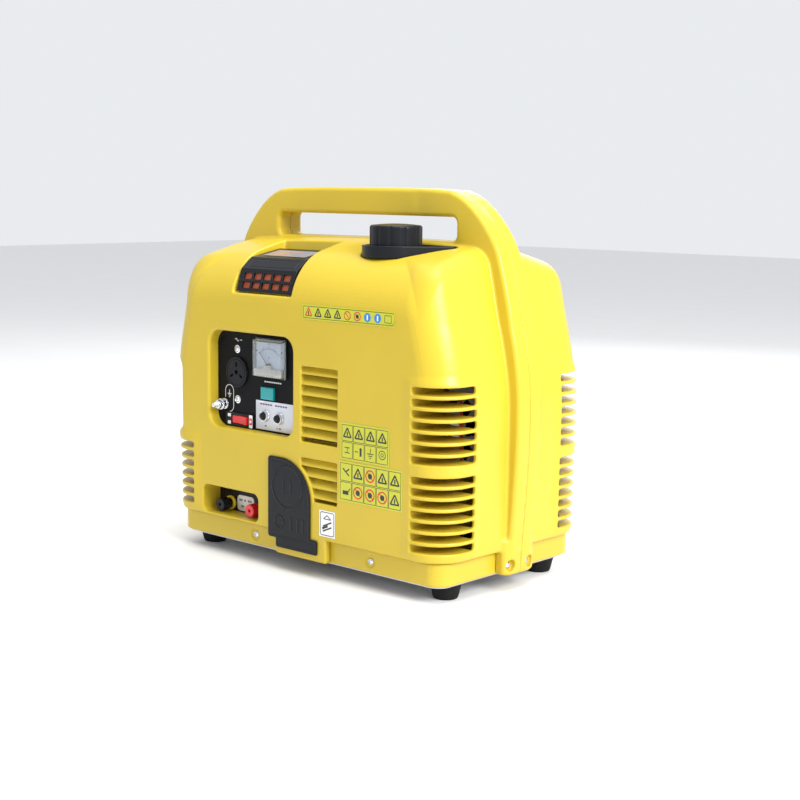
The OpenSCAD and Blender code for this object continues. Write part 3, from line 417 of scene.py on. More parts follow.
def material(name, colour, rough, metal=0.0, grain=900.0, depth=0.00004, vary=0.06, wear=0.0,
             coat=0.0, clear=0.0, gloss=0.5):
    """A finished material: mottled colour and gloss, fine bump, and paler worn edges.

    grain is the bump's noise scale per metre and depth its height in metres; vary is the
    swing of the colour; gloss is the strength of the surface's reflection."""
    m = bpy.data.materials.new(name)
    m.use_nodes = True
    nodes, links = m.node_tree.nodes, m.node_tree.links
    shader = nodes["Principled BSDF"]
    shader.inputs["Metallic"].default_value = metal
    shader.inputs["Specular IOR Level"].default_value = gloss
    shader.inputs["Coat Weight"].default_value = coat
    shader.inputs["Coat Roughness"].default_value = 0.12
    shader.inputs["Transmission Weight"].default_value = clear
    place = nodes.new("ShaderNodeTexCoord").outputs["Object"]

    def noise(scale, detail):
        texture = nodes.new("ShaderNodeTexNoise")
        texture.inputs["Scale"].default_value = scale
        texture.inputs["Detail"].default_value = detail
        links.new(place, texture.inputs["Vector"])
        return texture.outputs["Fac"]

    def spread(source, low, high):
        to_range = nodes.new("ShaderNodeMapRange")
        to_range.inputs["From Min"].default_value = 0.3
        to_range.inputs["From Max"].default_value = 0.7
        to_range.inputs["To Min"].default_value = low
        to_range.inputs["To Max"].default_value = high
        links.new(source, to_range.inputs["Value"])
        return to_range.outputs["Result"]

    patches = noise(9, 4)
    mottle = nodes.new("ShaderNodeMix")
    mottle.data_type = "RGBA"
    mottle.inputs["A"].default_value = scaled_colour(colour, 1 - vary)
    mottle.inputs["B"].default_value = scaled_colour(colour, 1 + vary)
    links.new(spread(patches, 0, 1), mottle.inputs["Factor"])
    result = mottle.outputs["Result"]
    if wear:
        edges = nodes.new("ShaderNodeMapRange")
        edges.inputs["From Min"].default_value = 0.53
        edges.inputs["From Max"].default_value = 0.62
        edges.inputs["To Max"].default_value = wear
        links.new(nodes.new("ShaderNodeNewGeometry").outputs["Pointiness"], edges.inputs["Value"])
        rubbed = nodes.new("ShaderNodeMath")
        rubbed.operation = "MULTIPLY"
        links.new(edges.outputs["Result"], rubbed.inputs[0])
        links.new(spread(noise(60, 3), 0.2, 1), rubbed.inputs[1])
        pale = nodes.new("ShaderNodeMix")
        pale.data_type = "RGBA"
        pale.inputs["B"].default_value = scaled_colour([0.5 * c + 0.25 for c in colour], 1)
        links.new(result, pale.inputs["A"])
        links.new(rubbed.outputs["Value"], pale.inputs["Factor"])
        result = pale.outputs["Result"]
    links.new(result, shader.inputs["Base Color"])
    links.new(spread(noise(35, 5), max(0.02, rough - 0.05), rough + 0.07), shader.inputs["Roughness"])
    bump = nodes.new("ShaderNodeBump")
    bump.inputs["Distance"].default_value = depth
    bump.inputs["Strength"].default_value = 0.6
    links.new(noise(grain, 3), bump.inputs["Height"])
    links.new(bump.outputs["Normal"], shader.inputs["Normal"])
    return m


YELLOW = material("casing_yellow", (0.54, 0.395, 0.026), 0.34, grain=700, depth=0.00003, vary=0.025,
                  wear=0.1, coat=0.08, gloss=0.35)
BLACK = material("black_plastic", (0.008, 0.009, 0.012), 0.3, grain=900, wear=0.05, gloss=0.2)
MATT = material("matt_black", (0.007, 0.007, 0.008), 0.55, grain=1200, depth=0.00006, wear=0.04,
                gloss=0.1)
RUBBER = material("rubber_black", (0.009, 0.009, 0.01), 0.72, grain=600, depth=0.0001, wear=0.05,
                  gloss=0.15)
CHROME = material("chrome", (0.72, 0.74, 0.78), 0.12, metal=1, grain=300, depth=0.00001)
STEEL = material("steel", (0.48, 0.48, 0.5), 0.34, metal=1, grain=500, wear=0.2)
DARK_STEEL = material("dark_steel", (0.1, 0.1, 0.11), 0.5, metal=1, grain=400, wear=0.3)
ALLOY = material("alloy", (0.5, 0.5, 0.52), 0.45, metal=1, grain=350, depth=0.0001, wear=0.2)
IRON = material("iron", (0.2, 0.19, 0.19), 0.6, metal=1, grain=250, depth=0.0002, wear=0.2)
BRASS = material("brass", (0.7, 0.48, 0.2), 0.25, metal=1, grain=400, wear=0.2)
WHITE = material("white_plastic", (0.62, 0.64, 0.72), 0.32, grain=900, vary=0.03, wear=0.05)
RED = material("red_plastic", (0.68, 0.012, 0.02), 0.3, grain=900, vary=0.05, wear=0.12, coat=0.2)
YELLOW_PART = material("yellow_plastic", (0.8, 0.6, 0.03), 0.35, grain=900, wear=0.1)
# orange darkened overall as painted shade, standing in for the shade inside the plug shroud's slots
SHADE_DARKENED_ORANGE = material("orange_plastic", (0.42, 0.06, 0.003), 0.42, grain=800, wear=0.15)
TEAL = material("teal_lens", (0.0, 0.27, 0.28), 0.16, grain=300, depth=0.00003, vary=0.08, coat=0.5)
CLEAR = material("clear_plastic", (0.92, 0.96, 1.0), 0.05, grain=200, depth=0.00001, vary=0.01, clear=0.94)
MILKY = material("milky_plastic", (0.6, 0.55, 0.47), 0.3, grain=500, depth=0.00001, vary=0.03)
DIAL = material("dial_card", (0.62, 0.68, 0.8), 0.5, grain=1500, vary=0.03)
FILM = material("label_film", (0.5, 0.5, 0.025), 0.3, grain=1400, depth=0.00001, vary=0.04)
WHITE_FILM = material("white_film", (0.75, 0.75, 0.74), 0.3, grain=1400, depth=0.00001, vary=0.03)
INK = material("ink_black", (0.02, 0.02, 0.02), 0.4, grain=1400, depth=0.00001)
RED_INK = material("ink_red", (0.6, 0.02, 0.02), 0.4, grain=1400, depth=0.00001)
BLUE_INK = material("ink_blue", (0.02, 0.2, 0.55), 0.4, grain=1400, depth=0.00001)
ORANGE_INK = material("ink_orange", (0.75, 0.3, 0.04), 0.4, grain=1400, depth=0.00001)
GREY_INK = material("ink_grey", (0.2, 0.2, 0.23), 0.4, grain=1400, depth=0.00001)
CERAMIC = material("ceramic", (0.75, 0.72, 0.66), 0.2, grain=300)
COPPER = material("copper_winding", (0.5, 0.17, 0.06), 0.35, metal=1, grain=900, depth=0.0002)
ROPE = material("rope", (0.7, 0.68, 0.62), 0.8, grain=1500, depth=0.0005)
WIRE_RED = material("wire", (0.55, 0.03, 0.02), 0.4, grain=600, wear=0.05)

NODE_FINISH = {
    "casing_yellow": YELLOW, "black_plastic": BLACK, "matt_black": MATT, "rubber_black": RUBBER,
    "chrome": CHROME, "steel": STEEL, "dark_steel": DARK_STEEL, "alloy": ALLOY, "iron": IRON,
    "brass": BRASS, "white_plastic": WHITE, "red_plastic": RED, "yellow_plastic": YELLOW_PART,
    "orange_plastic": SHADE_DARKENED_ORANGE, "teal_lens": TEAL, "clear_plastic": CLEAR, "dial_card": DIAL,
    "label_film": FILM, "ceramic": CERAMIC, "copper_winding": COPPER, "rope": ROPE, "wire": WIRE_RED,
}


def dress_frame():
    """Gives each CAD node the finish of its slot in the record, and eased edges."""
    slots = {p["node"]: p["material_slot"] for p in frame["record"]["subparts"]}
    for name, node in frame["nodes"].items():
        node.data.materials.clear()
        node.data.materials.append(NODE_FINISH[slots[name]])
        ease = node.modifiers.new("ease", "BEVEL")
        ease.width = 0.0006
        ease.segments = 2
        ease.limit_method = "ANGLE"


def finish_piece(piece, finish, body, slot_name, *nodes):
    """Last step of every piece: its material, its body and the nodes it stands for; its slot (slot_name) is
    not used.
    """
    piece.data.materials.clear()
    piece.data.materials.append(finish)
    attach(piece, body)
    if nodes:
        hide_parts(*nodes)
    return piece


# ------------------------------------------------------------ mesh helpers


def mesh_piece(name, points, faces, smooth_angle=None):
    mesh = bpy.data.meshes.new(name)
    mesh.from_pydata([tuple(c * MM for c in p) for p in points], [], faces)
    mesh.validate()
    mesh.update()
    if smooth_angle:
        mesh.shade_smooth()
        mesh.set_sharp_from_angle(angle=math.radians(smooth_angle))
    piece = bpy.data.objects.new(name, mesh)
    bpy.context.collection.objects.link(piece)
    return piece


def lathe(name, profile, place, axis, sides=64, smooth_angle=40):
    """Turns a closed profile of (radius, distance along the axis) round an axis through place."""
    u, v, w = {"x": ((0, 1, 0), (0, 0, 1), (1, 0, 0)), "y": ((0, 0, 1), (1, 0, 0), (0, 1, 0)),
               "z": ((1, 0, 0), (0, 1, 0), (0, 0, 1))}[axis]
    points, faces = [], []
    for i in range(sides):
        a = 2 * math.pi * i / sides
        for r, h in profile:
            points.append([place[k] + r * (math.cos(a) * u[k] + math.sin(a) * v[k]) + h * w[k]
                           for k in range(3)])
    count = len(profile)
    for i in range(sides):
        for j in range(count):
            faces.append((i * count + j, i * count + (j + 1) % count,
                          (i + 1) % sides * count + (j + 1) % count, (i + 1) % sides * count + j))
    return mesh_piece(name, points, faces, smooth_angle)


def front_plate(name, outline, y_front, y_back, ease=0.25):
    """A thin plate with that outline in the X-Z plane and eased edges."""
    centre = [sum(p[k] for p in outline) / len(outline) for k in (0, 1)]
    inner = [tuple(centre[k] + (p[k] - centre[k]) * (1 - ease / max(1, math.dist(p, centre)))
                   for k in (0, 1)) for p in outline]
    n = len(outline)
    points = ([(p[0], y_front, p[1]) for p in inner] + [(p[0], y_front + ease, p[1]) for p in outline]
              + [(p[0], y_back, p[1]) for p in outline])
    faces = [tuple(range(n)), tuple(range(3 * n - 1, 2 * n - 1, -1))]
    for ring in (0, 1):
        for i in range(n):
            faces.append((ring * n + i, (ring + 1) * n + i, (ring + 1) * n + (i + 1) % n,
                          ring * n + (i + 1) % n))
    return mesh_piece(name, points, faces, 50)


def rounded(low, high, r, count=6):
    """Outline of a rounded rectangle, clockwise seen from the front."""
    points = []
    corners = ((high[0] - r, high[1] - r, 90), (high[0] - r, low[1] + r, 0),
               (low[0] + r, low[1] + r, -90), (low[0] + r, high[1] - r, -180))
    for cx, cz, start in corners:
        for i in range(count + 1):
            a = math.radians(start - 90 * i / count)
            points.append((cx + r * math.cos(a), cz + r * math.sin(a)))
    return points


def ring_outline(centre, r, count=32):
    """Outline of a round mark, clockwise seen from the front."""
    return [(centre[0] + r * math.cos(2 * math.pi * i / count),
             centre[1] - r * math.sin(2 * math.pi * i / count)) for i in range(count)]


def copies(source, name, turns_and_places, body, nodes=()):
    """Copies of a piece, each turned by a matrix and moved; all ride on one body."""
    made = []
    for number, (turn, place) in enumerate(turns_and_places):
        piece = source.copy()
        piece.name = f"{name}_{number + 1}"
        bpy.context.collection.objects.link(piece)
        piece.matrix_world = Matrix.Translation(Vector(place) * MM) @ turn.to_4x4()
        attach(piece, body)
        if nodes and not number:
            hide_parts(*nodes)
        made.append(piece)
    return made


FACING = {
    "front": Matrix.Rotation(0, 3, "X"), "rear": Matrix.Rotation(math.pi, 3, "Z"),
    "right": Matrix.Rotation(math.pi / 2, 3, "Z"), "left": Matrix.Rotation(-math.pi / 2, 3, "Z"),
}


def skin_y(x, z, start=-180.0, end=-90.0):
    """Y of the casing's front skin at points (x, z), found by halving."""
    low, high = np.full(x.shape, start, np.float32), np.full(x.shape, end, np.float32)
    for _ in range(22):
        middle = (low + high) / 2
        outside = casing_outside(x, middle, z) > 0
        low, high = np.where(outside, middle, low), np.where(outside, high, middle)
    return (low + high) / 2


def film(name, outline, lift):
    """A flat printed shape wrapped onto the casing's front skin, lifted off it by lift."""
    xs, zs = np.array([p[0] for p in outline]), np.array([p[1] for p in outline])
    span = max(xs.max() - xs.min(), zs.max() - zs.min())
    if span < 12:
        y = skin_y(xs.astype(np.float32), zs.astype(np.float32)) - lift
        return mesh_piece(name, list(zip(xs, y, zs)), [tuple(range(len(outline)))])
    step = 3.0
    nx = max(2, int((xs.max() - xs.min()) / step) + 1)
    nz = max(2, int((zs.max() - zs.min()) / step) + 1)
    gx, gz = np.meshgrid(np.linspace(xs.min(), xs.max(), nx), np.linspace(zs.min(), zs.max(), nz))
    y = skin_y(gx.astype(np.float32), gz.astype(np.float32)) - lift
    points = list(zip(gx.ravel(), y.ravel(), gz.ravel()))
    faces = [(j * nx + i, j * nx + i + 1, (j + 1) * nx + i + 1, (j + 1) * nx + i)
             for j in range(nz - 1) for i in range(nx - 1)]
    return mesh_piece(name, points, faces, 60)


def join(name, parts):
    """One object from several that share a material."""
    points, faces = [], []
    for part in parts:
        base = len(points)
        points += [tuple(c / MM for c in v.co) for v in part.data.vertices]
        faces += [tuple(base + i for i in p.vertices) for p in part.data.polygons]
        mesh = part.data
        bpy.data.objects.remove(part)
        bpy.data.meshes.remove(mesh)
    return mesh_piece(name, points, faces, 40)


# ------------------------------------------------------------ casing and tray


def build_casing():
    step = 1.4
    for name, sign, node in (("front_casing", -1, "front_shell"), ("rear_casing", 1, "rear_shell")):
        finish_piece(shell_half(name, sign, step), YELLOW, "casing", "casing_yellow", node)


def build_tray_pan():
    def shape(x, y, z):
        ax, ay = np.abs(x), np.abs(y)
        plan = round_box(ax, ay, (-222, -125), (222, 125), 22)
        outside = round_common(plan, slab(z, FOOT_H + 2, TRAY_TOP - 0.3), 2.5)
        cavity = np.maximum(plan + WALL, FOOT_H + 5 - z)
        for px in PAN_SCREW_X:
            recess = np.maximum(disc(x, z, (px, PAN_SCREW_Z), 7.2), 123.3 - ay)
            outside = round_cut(outside, recess, 0.8)
            cavity = np.maximum(cavity, -(recess - 2))
        for py in BOSS_SCREW_Y:
            cavity = np.maximum(cavity, -np.maximum(disc(y, z, (py, BOSS_SCREW_Z), 7), 215 - ax))
        hollow = np.maximum(outside, -cavity)
        for px in PAN_SCREW_X:
            hollow = np.maximum(hollow, -np.maximum(disc(x, z, (px, PAN_SCREW_Z), 2.1), 100 - ay))
        return hollow

    pan = moulded("tray_pan", (-225, -128, 17), (225, 128, 50), 1.4, shape, keep=0.25)
    finish_piece(pan, YELLOW, "casing", "casing_yellow", "base_tray")


def build_feet():
    profile = [(3, 2.5), (7, 2.5), (7, 0.3), (8, 0), (12.6, 0), (13.6, 0.5), (14.6, 2), (15.4, 5),
               (18.2, 16), (19, 16.6), (19, 17.6), (18.6, 18), (3, 18)]
    for side_x in (-1, 1):
        for side_y in (-1, 1):
            name = f"foot_{'left' if side_x < 0 else 'right'}_{'front' if side_y < 0 else 'rear'}"
            foot = lathe(name, profile, (side_x * 198, side_y * 87, 0), "z", 72)
            finish_piece(foot, RUBBER, "casing", "rubber_black", "rubber_feet")


def cross_screw(name, head_r, head_h, shank_r, shank_l, finish):
    """Pan head screw that faces the front, its seat at the origin."""
    def shape(x, y, z):
        r = np.sqrt(x * x + z * z)
        ball_r = (head_r * head_r + head_h * head_h) / (2 * head_h) * 0.92
        ball = np.sqrt(r * r + (y + head_h - ball_r) ** 2) - ball_r
        head = round_common(round_common(r - head_r, ball, 0.5), y, 0.15)
        depth = -head_h - y + 0.9 * head_h
        wing = head_r * 0.13 + 0.05 * (-y)
        cross = np.minimum(np.maximum(np.abs(x) - wing, np.abs(z) - head_r * 0.55),
                           np.maximum(np.abs(z) - wing, np.abs(x) - head_r * 0.55))
        head = round_cut(head, np.maximum(cross, -depth), 0.12)
        shank = np.maximum(r - shank_r + 0.25 * np.abs(((y + 60) % 0.8) / 0.4 - 1), slab(y, -0.5, shank_l))
        return np.minimum(head, shank)

    r = head_r + 0.6
    screw = moulded(name, (-r, -head_h - 0.6, -r), (r, shank_l + 0.6, r), 0.16, shape, keep=0.3)
    screw.data.materials.append(finish)
    return screw


def build_screws():
    source = cross_screw("screw_head", 4.6, 2.4, 2, 6, CHROME)
    places = []
    for px in PAN_SCREW_X:
        places.append((FACING["front"], (px, -123.4, PAN_SCREW_Z)))
        places.append((FACING["rear"], (px, 123.4, PAN_SCREW_Z)))
    for side, facing in ((-1, FACING["left"]), (1, FACING["right"])):
        places += [(facing, (side * 231.6, py, BOSS_SCREW_Z)) for py in BOSS_SCREW_Y]
    places += [(FACING["rear"], (px, 130.2, pz)) for px, pz in REAR_SCREWS]
    copies(source, "casing_screw", places, "casing", ("casing_screws",))
    bpy.data.objects.remove(source)


# ------------------------------------------------------------ control panel

PANEL_Y = -118
SOCKET = (-118, 231.5)
METER = ((-82, 229.5), (-28.5, 277.5))
METER_CENTRE = (-55.25, 253.5)
NEEDLE_PIVOT = (-57.2, 243)
# faces of the parts that stand off the panel
DIAL_Y, BREAKER_Y, BEZEL_Y = -121.6, -119.2, -120.2
BREAKERS = ((-66, 182.6), (-41, 181.8))
ROCKER = (-111.5, 172)
GROUND = (-142.4, 189.5)
LAMP = ((-74, 202), (-51, 218))
CORNER_SCREWS = ((-147, 268), (-145, 172.5), (-13, 268), (-12, 210))


def panel_marks(name, outlines, finish, y=PANEL_Y, lift=0.12):
    """Flat printed shapes on a plate that faces the front."""
    parts = [front_plate(f"{name}_{i}", outline, y - lift, y, 0.02) for i, outline in enumerate(outlines)]
    return finish_piece(join(name, parts), finish, "casing", "label_film")


def bar(x0, z0, x1, z1, width):
    """Outline of a straight stroke between two points."""
    length = math.hypot(x1 - x0, z1 - z0)
    nx, nz = -(z1 - z0) / length * width / 2, (x1 - x0) / length * width / 2
    return [(x0 + nx, z0 + nz), (x1 + nx, z1 + nz), (x1 - nx, z1 - nz), (x0 - nx, z0 - nz)]


def around(centre, r, angle):
    """The point at radius r from the centre, at that angle in degrees."""
    a = math.radians(angle)
    return (centre[0] + r * math.cos(a), centre[1] + r * math.sin(a))


def arc_bars(centre, r, start, end, width, count=12):
    """A curved stroke made of short straight ones."""
    points = [around(centre, r, start + (end - start) * i / count) for i in range(count + 1)]
    return [bar(*a, *b, width) for a, b in zip(points, points[1:])]


def build_panel():
    def shape(x, y, z):
        plate = round_box(x, z, (-158, 159.5), (-2, 286), 21)
        plate = round_common(plate, slab(y, PANEL_Y, PANEL_Y + 2.5), 0.5)
        for place in CORNER_SCREWS:
            ring = np.abs(disc(x, z, place, 4.6)) - 0.5
            plate = round_cut(plate, np.maximum(ring, y - PANEL_Y - 0.7), 0.2)
        hole = np.minimum(disc(x, z, SOCKET, 17.2), disc(x, z, METER_CENTRE, 20.2))
        for place in BREAKERS:
            hole = np.minimum(hole, disc(x, z, place, 7.2))
        hole = np.minimum(hole, round_box(x, z, (-136, 165), (-91.6, 179), 1))
        return np.maximum(plate, -hole)

    plate = moulded("panel_plate", (-160, -119.5, 157), (0, -114, 288), 0.7, shape, keep=0.25)
    finish_piece(plate, MATT, "casing", "matt_black", "control_panel")

    screw = cross_screw("panel_screw", 3.7, 2.4, 1.9, 6, CHROME)
    washer = [(1.95, 0), (1.95, -0.9), (4.7, -0.9), (5.1, -0.6), (5.2, 0)]
    places = []
    for number, (px, pz) in enumerate(((-118.5, 260), (-118, 197.3))):
        places.append((FACING["front"], (px, PANEL_Y - 0.9, pz)))
        ring = lathe(f"socket_washer_{number + 1}", washer, (px, PANEL_Y, pz), "y", 48)
        finish_piece(ring, CHROME, "casing", "chrome")
    copies(screw, "socket_screw", places, "casing", ("panel_screws",))
    bpy.data.objects.remove(screw)
    dark = cross_screw("corner_screw", 3.4, 1.7, 1.5, 6, MATT)
    places = [(FACING["front"], (px, PANEL_Y, pz)) for px, pz in CORNER_SCREWS]
    copies(dark, "panel_screw", places, "casing")
    bpy.data.objects.remove(dark)

    # stadium line round the earth symbol, the symbol itself, and the socket's mark
    left, top, low = -133.6, 206.7, 188.1
    line = []
    line += [bar(left + 7.5, low, left + 7.5, top, 0.8), bar(left - 7.5, 198, left - 7.5, top, 0.8)]
    line += arc_bars((left, top), 7.5, 0, 180, 0.8, 16) + arc_bars((left, low), 7.5, 270, 360, 0.8, 8)
    line += [bar(left, 208, left, 203, 0.9), bar(left - 3.4, 203, left + 3.4, 203, 0.9)]
    line += [bar(left - 2.2, 201, left + 2.2, 201, 0.8), bar(left - 1, 199, left + 1, 199, 0.8)]
    line += arc_bars((-121, 271.5), 1.6, 0, 180, 0.7, 8) + arc_bars((-117.8, 271.5), 1.6, 180, 360, 0.7, 8)
    line += [bar(-114, 271.5, -110.5, 271.5, 0.8)]
    line += [bar(-69.5 + 3.4 * i, 224.2, -67.3 + 3.4 * i, 224.2, 1.6) for i in range(9)]
    panel_marks("panel_lines", line, WHITE_FILM)


def build_socket():
    def shape(x, y, z):
        r = disc(x, z, SOCKET, 19)
        body = round_common(r, slab(y, PANEL_Y - 3.2, PANEL_Y), 0.8)
        barrel = round_common(disc(x, z, SOCKET, 17), slab(y, PANEL_Y - 1, PANEL_Y + 32), 1)
        body = np.minimum(body, barrel)
        groove = np.abs(disc(x, z, SOCKET, 16.2)) - 0.45
        body = round_cut(body, np.maximum(groove, y - PANEL_Y + 2.4), 0.15)
        for turn in (90, 210, 330):
            a = math.radians(turn)
            along = (x - SOCKET[0]) * math.cos(a) + (z - SOCKET[1]) * math.sin(a)
            across = -(x - SOCKET[0]) * math.sin(a) + (z - SOCKET[1]) * math.cos(a)
            slot = round_box(along, across, (6.6, -1.3), (12.6, 1.3), 0.4)
            body = round_cut(body, np.maximum(slot, y - PANEL_Y - 15), 0.35)
        pin = np.maximum(disc(x, z, SOCKET, 2.7), y - PANEL_Y - 6)
        return round_cut(body, pin, 0.4)

    socket = moulded("socket_face", (-138, -122, 211), (-98, -85, 252), 0.35, shape, keep=0.3)
    finish_piece(socket, BLACK, "casing", "black_plastic", "ac_receptacle")
    strap = front_plate("socket_strap", rounded((-127, 190), (-109, 267), 2), -115.4, -113.6)
    finish_piece(strap, STEEL, "casing", "steel")


def build_meter():
    base = front_plate("meter_case", rounded(*METER, 1.5), -121, PANEL_Y)
    finish_piece(base, BLACK, "casing", "black_plastic", "voltmeter_case")
    profile = [(17.5, 3), (17.5, 28), (0.1, 28), (0.1, 30), (19.5, 30), (20, 29.5), (20, 0), (17.5, 0)]
    barrel = lathe("meter_barrel", profile, (METER_CENTRE[0], PANEL_Y, METER_CENTRE[1]), "y")
    finish_piece(barrel, BLACK, "casing", "black_plastic")
    card = front_plate("meter_dial", rounded((-79.4, 232), (-31.2, 275), 0.8), DIAL_Y, -121)
    finish_piece(card, DIAL, "casing", "dial_card", "voltmeter_dial")
    pivot = NEEDLE_PIVOT
    marks = arc_bars(pivot, 22, 42, 138, 0.5, 24)
    for i in range(13):
        far = 25.5 if i % 3 == 0 else 24
        marks.append(bar(*around(pivot, 22, 42 + 8 * i), *around(pivot, far, 42 + 8 * i), 0.6))
    marks += [bar(-58.6, 256, -57.2, 252.6, 0.7), bar(-57.2, 252.6, -55.8, 256, 0.7)]
    panel_marks("meter_scale", marks, GREY_INK, DIAL_Y)
    dots = []
    for i, angle in enumerate((42, 66, 90, 114, 138)):
        at = around(pivot, 28.3, angle)
        if i % 2 == 0:
            dots.append(ring_outline(at, 1.1, 16))
        dots.append(ring_outline((at[0], at[1] - 5.5), 0.6, 12))
    panel_marks("meter_dots", dots, INK, DIAL_Y)
    profile = [(0.1, -4.6), (2.6, -4.6), (3.8, -4.2), (4.6, -3.2), (4.9, -0.2), (0.1, -0.2)]
    hub = lathe("meter_hub", profile, (pivot[0], DIAL_Y, pivot[1]), "y", 48)
    finish_piece(hub, INK, "casing", "black_plastic")

    def cover(x, y, z):
        lower = round_box(x, z, (-79, 232.2), (-31.6, 241), 1)
        bell = np.minimum(lower, round_box(x, z, (-65.5, 232.2), (-49, 245.5), 5))
        return round_common(bell, slab(y, -126.6, -122), 1.2)

    lower = moulded("meter_lower_cover", (-85, -128, 230), (-29, -121, 248), 0.4, cover, keep=0.3)
    finish_piece(lower, MILKY, "casing", "clear_plastic")

    def window(x, y, z):
        rim = 3.2 * np.clip((-121 - y) / 8, 0, 1)
        outer = round_common(round_box(x, z, *METER, 2) + rim * 0.8, slab(y, -129, -121), 0.9)
        inner = round_common(round_box(x, z, *METER, 2) + 1.9 + rim * 0.8, slab(y, -127.4, -110), 0.6)
        return np.maximum(outer, -inner)

    glass = moulded("meter_window", (-88, -130.5, 227), (-26, -119.5, 280), 0.5, window, keep=0.4)
    finish_piece(glass, CLEAR, "casing", "clear_plastic", "voltmeter_window")

    needle = mesh_piece("meter_needle", needle_points(), [(0, 1, 2, 3), (7, 6, 5, 4), (0, 4, 5, 1),
                        (1, 5, 6, 2), (2, 6, 7, 3), (3, 7, 4, 0)])
    finish_piece(needle, INK, "needle", "black_plastic", "voltmeter_needle")


def needle_points():
    """A tapered pointer from the pivot to its tip, at rest 42 degrees left of upright."""
    a = math.radians(132)
    ux, uz = math.cos(a), math.sin(a)
    points = []
    for y in (-123.3, -122.7):
        for along, half in ((-2, 0.55), (-2, -0.55), (23.5, -0.18), (23.5, 0.18)):
            points.append((NEEDLE_PIVOT[0] + along * ux - half * uz, y,
                           NEEDLE_PIVOT[1] + along * uz + half * ux))
    return points


def build_lamp():
    def shape(x, y, z):
        front = round_box(x, z, *LAMP, 1.2) + 0.6 * np.clip((-118 - y) / 3.5, 0, 1)
        lens = round_common(front, slab(y, -121.5, -117.5), 0.8)
        barrel = np.maximum(round_box(x, z, (-71.8, 204.2), (-53.2, 215.8), 0.5), slab(y, -118, -104))
        return np.minimum(lens, barrel)

    lens = moulded("lamp_lens", (-76, -123, 200), (-49, -103, 220), 0.4, shape, keep=0.3)
    finish_piece(lens, TEAL, "casing", "teal_lens", "pilot_lamp")


def build_breakers():
    outline = [(-84, 200.5), (-5.6, 200.5), (-5.6, 182), (-7.5, 175), (-11.5, 168.5), (-15, 165.6),
               (-18, 165), (-84, 165)]
    plate = front_plate("breaker_face", outline, BREAKER_Y, PANEL_Y)
    finish_piece(plate, WHITE, "casing", "white_plastic", "breaker_plate")
    marks = [bar(-76 + 4.4 * i, 196.4, -73 + 4.4 * i, 196.4, 1.9) for i in range(11) if i != 5]
    marks += [bar(-68, 170, -64.5, 170, 1.4), bar(-43, 169, -39.5, 169, 1.4)]
    panel_marks("breaker_marks", marks, INK, BREAKER_Y)
    marks = [bar(-14.5, 182, -8, 182, 2), bar(-47, 169, -45, 169, 1.4)]
    panel_marks("breaker_marks_red", marks, RED_INK, BREAKER_Y)
    marks = [bar(-14, 188.5, -7.5, 188.5, 3), ring_outline((-10, 175), 2.8, 20)]
    panel_marks("breaker_marks_dark", marks, INK, BREAKER_Y)
    collar = [(5, 8), (5, -6), (5.8, -6.4), (6.5, -6.2), (6.8, -5.4), (6.8, -3.2), (7.2, -2.9),
              (7.5, -2.2), (7.5, -1.2), (7, -1.2), (7, 8)]
    button = [(0.1, -9.2), (3.1, -9.2), (3.5, -8.9), (3.6, -8.4), (4.2, -8.3), (4.55, -7.8), (4.65, -7),
              (4.65, 10.5), (0.1, 10.5)]
    for (cx, cz), side in zip(BREAKERS, ("left", "right")):
        ring = lathe(f"breaker_collar_{side}", collar, (cx, PANEL_Y, cz), "y")
        finish_piece(ring, CHROME, "casing", "chrome", "circuit_breakers")
        outline = rounded((cx - 11, cz - 14), (cx + 11, cz + 14), 1)
        body = front_plate(f"breaker_body_{side}", outline, -115.5, -89.5)
        finish_piece(body, BLACK, "casing", "black_plastic")
        knob = lathe(f"breaker_button_{side}_cap", button, (cx, PANEL_Y, cz), "y")
        finish_piece(knob, BLACK, f"breaker_{side}", "black_plastic", f"breaker_button_{side}")


def build_rocker():
    def frame_shape(x, y, z):
        bezel = round_box(x, z, (-139, 163.5), (-88.6, 180.5), 1.5)
        bezel = round_common(bezel, slab(y, BEZEL_Y, PANEL_Y), 0.7)
        box = np.maximum(round_box(x, z, (-135.8, 165.2), (-91.8, 178.8), 0.5), slab(y, -119, -94))
        room = round_box(x, z, (-127.1, 166.7), (-95.9, 177.3), 0.4)
        return round_cut(np.minimum(bezel, box), np.maximum(room, y + 102), 0.3)

    bezel = moulded("rocker_bezel", (-141, -121.5, 161), (-86, -93, 183), 0.45, frame_shape, keep=0.3)
    finish_piece(bezel, BLACK, "casing", "black_plastic", "rocker_frame")

    def rocker_shape(x, y, z):
        a = math.radians(-7)
        u = (x - ROCKER[0]) * math.cos(a) + (y + 113) * math.sin(a)
        v = -(x - ROCKER[0]) * math.sin(a) + (y + 113) * math.cos(a)
        dish = -7.2 - 1.4 * (u / 14) ** 2
        body = np.maximum(np.abs(u) - 14, np.maximum(dish - v, v + 4))
        keel = polygon(u, v, [(-14, -4.5), (14, -4.5), (5, 3), (-5, 3)])
        body = np.minimum(body, keel)
        return round_common(body, slab(z, 167, 177), 0.8)

    rocker = moulded("rocker_cap", (-128, -124, 164), (-95, -108, 180), 0.35, rocker_shape, keep=0.3)
    finish_piece(rocker, RED, "rocker", "red_plastic", "rocker_button")
    marks = [rounded((-134.6, low), (-129, low + 4), 0.6) for low in (165.4, 174.6)]
    panel_marks("rocker_marks", marks, WHITE_FILM, BEZEL_Y)
    panel_marks("rocker_side", [rounded((-95.4, 164), (-89.2, 180), 0.6)], WHITE_FILM, BEZEL_Y)
    marks = [rounded((-94.6, 167.8), (-89.8, 176.2), 0.6)]
    panel_marks("rocker_side_red", marks, RED_INK, BEZEL_Y - 0.15)
    panel_marks("rocker_side_dot", [ring_outline((-92.2, 172), 1.6, 18)], WHITE_FILM, BEZEL_Y - 0.3)


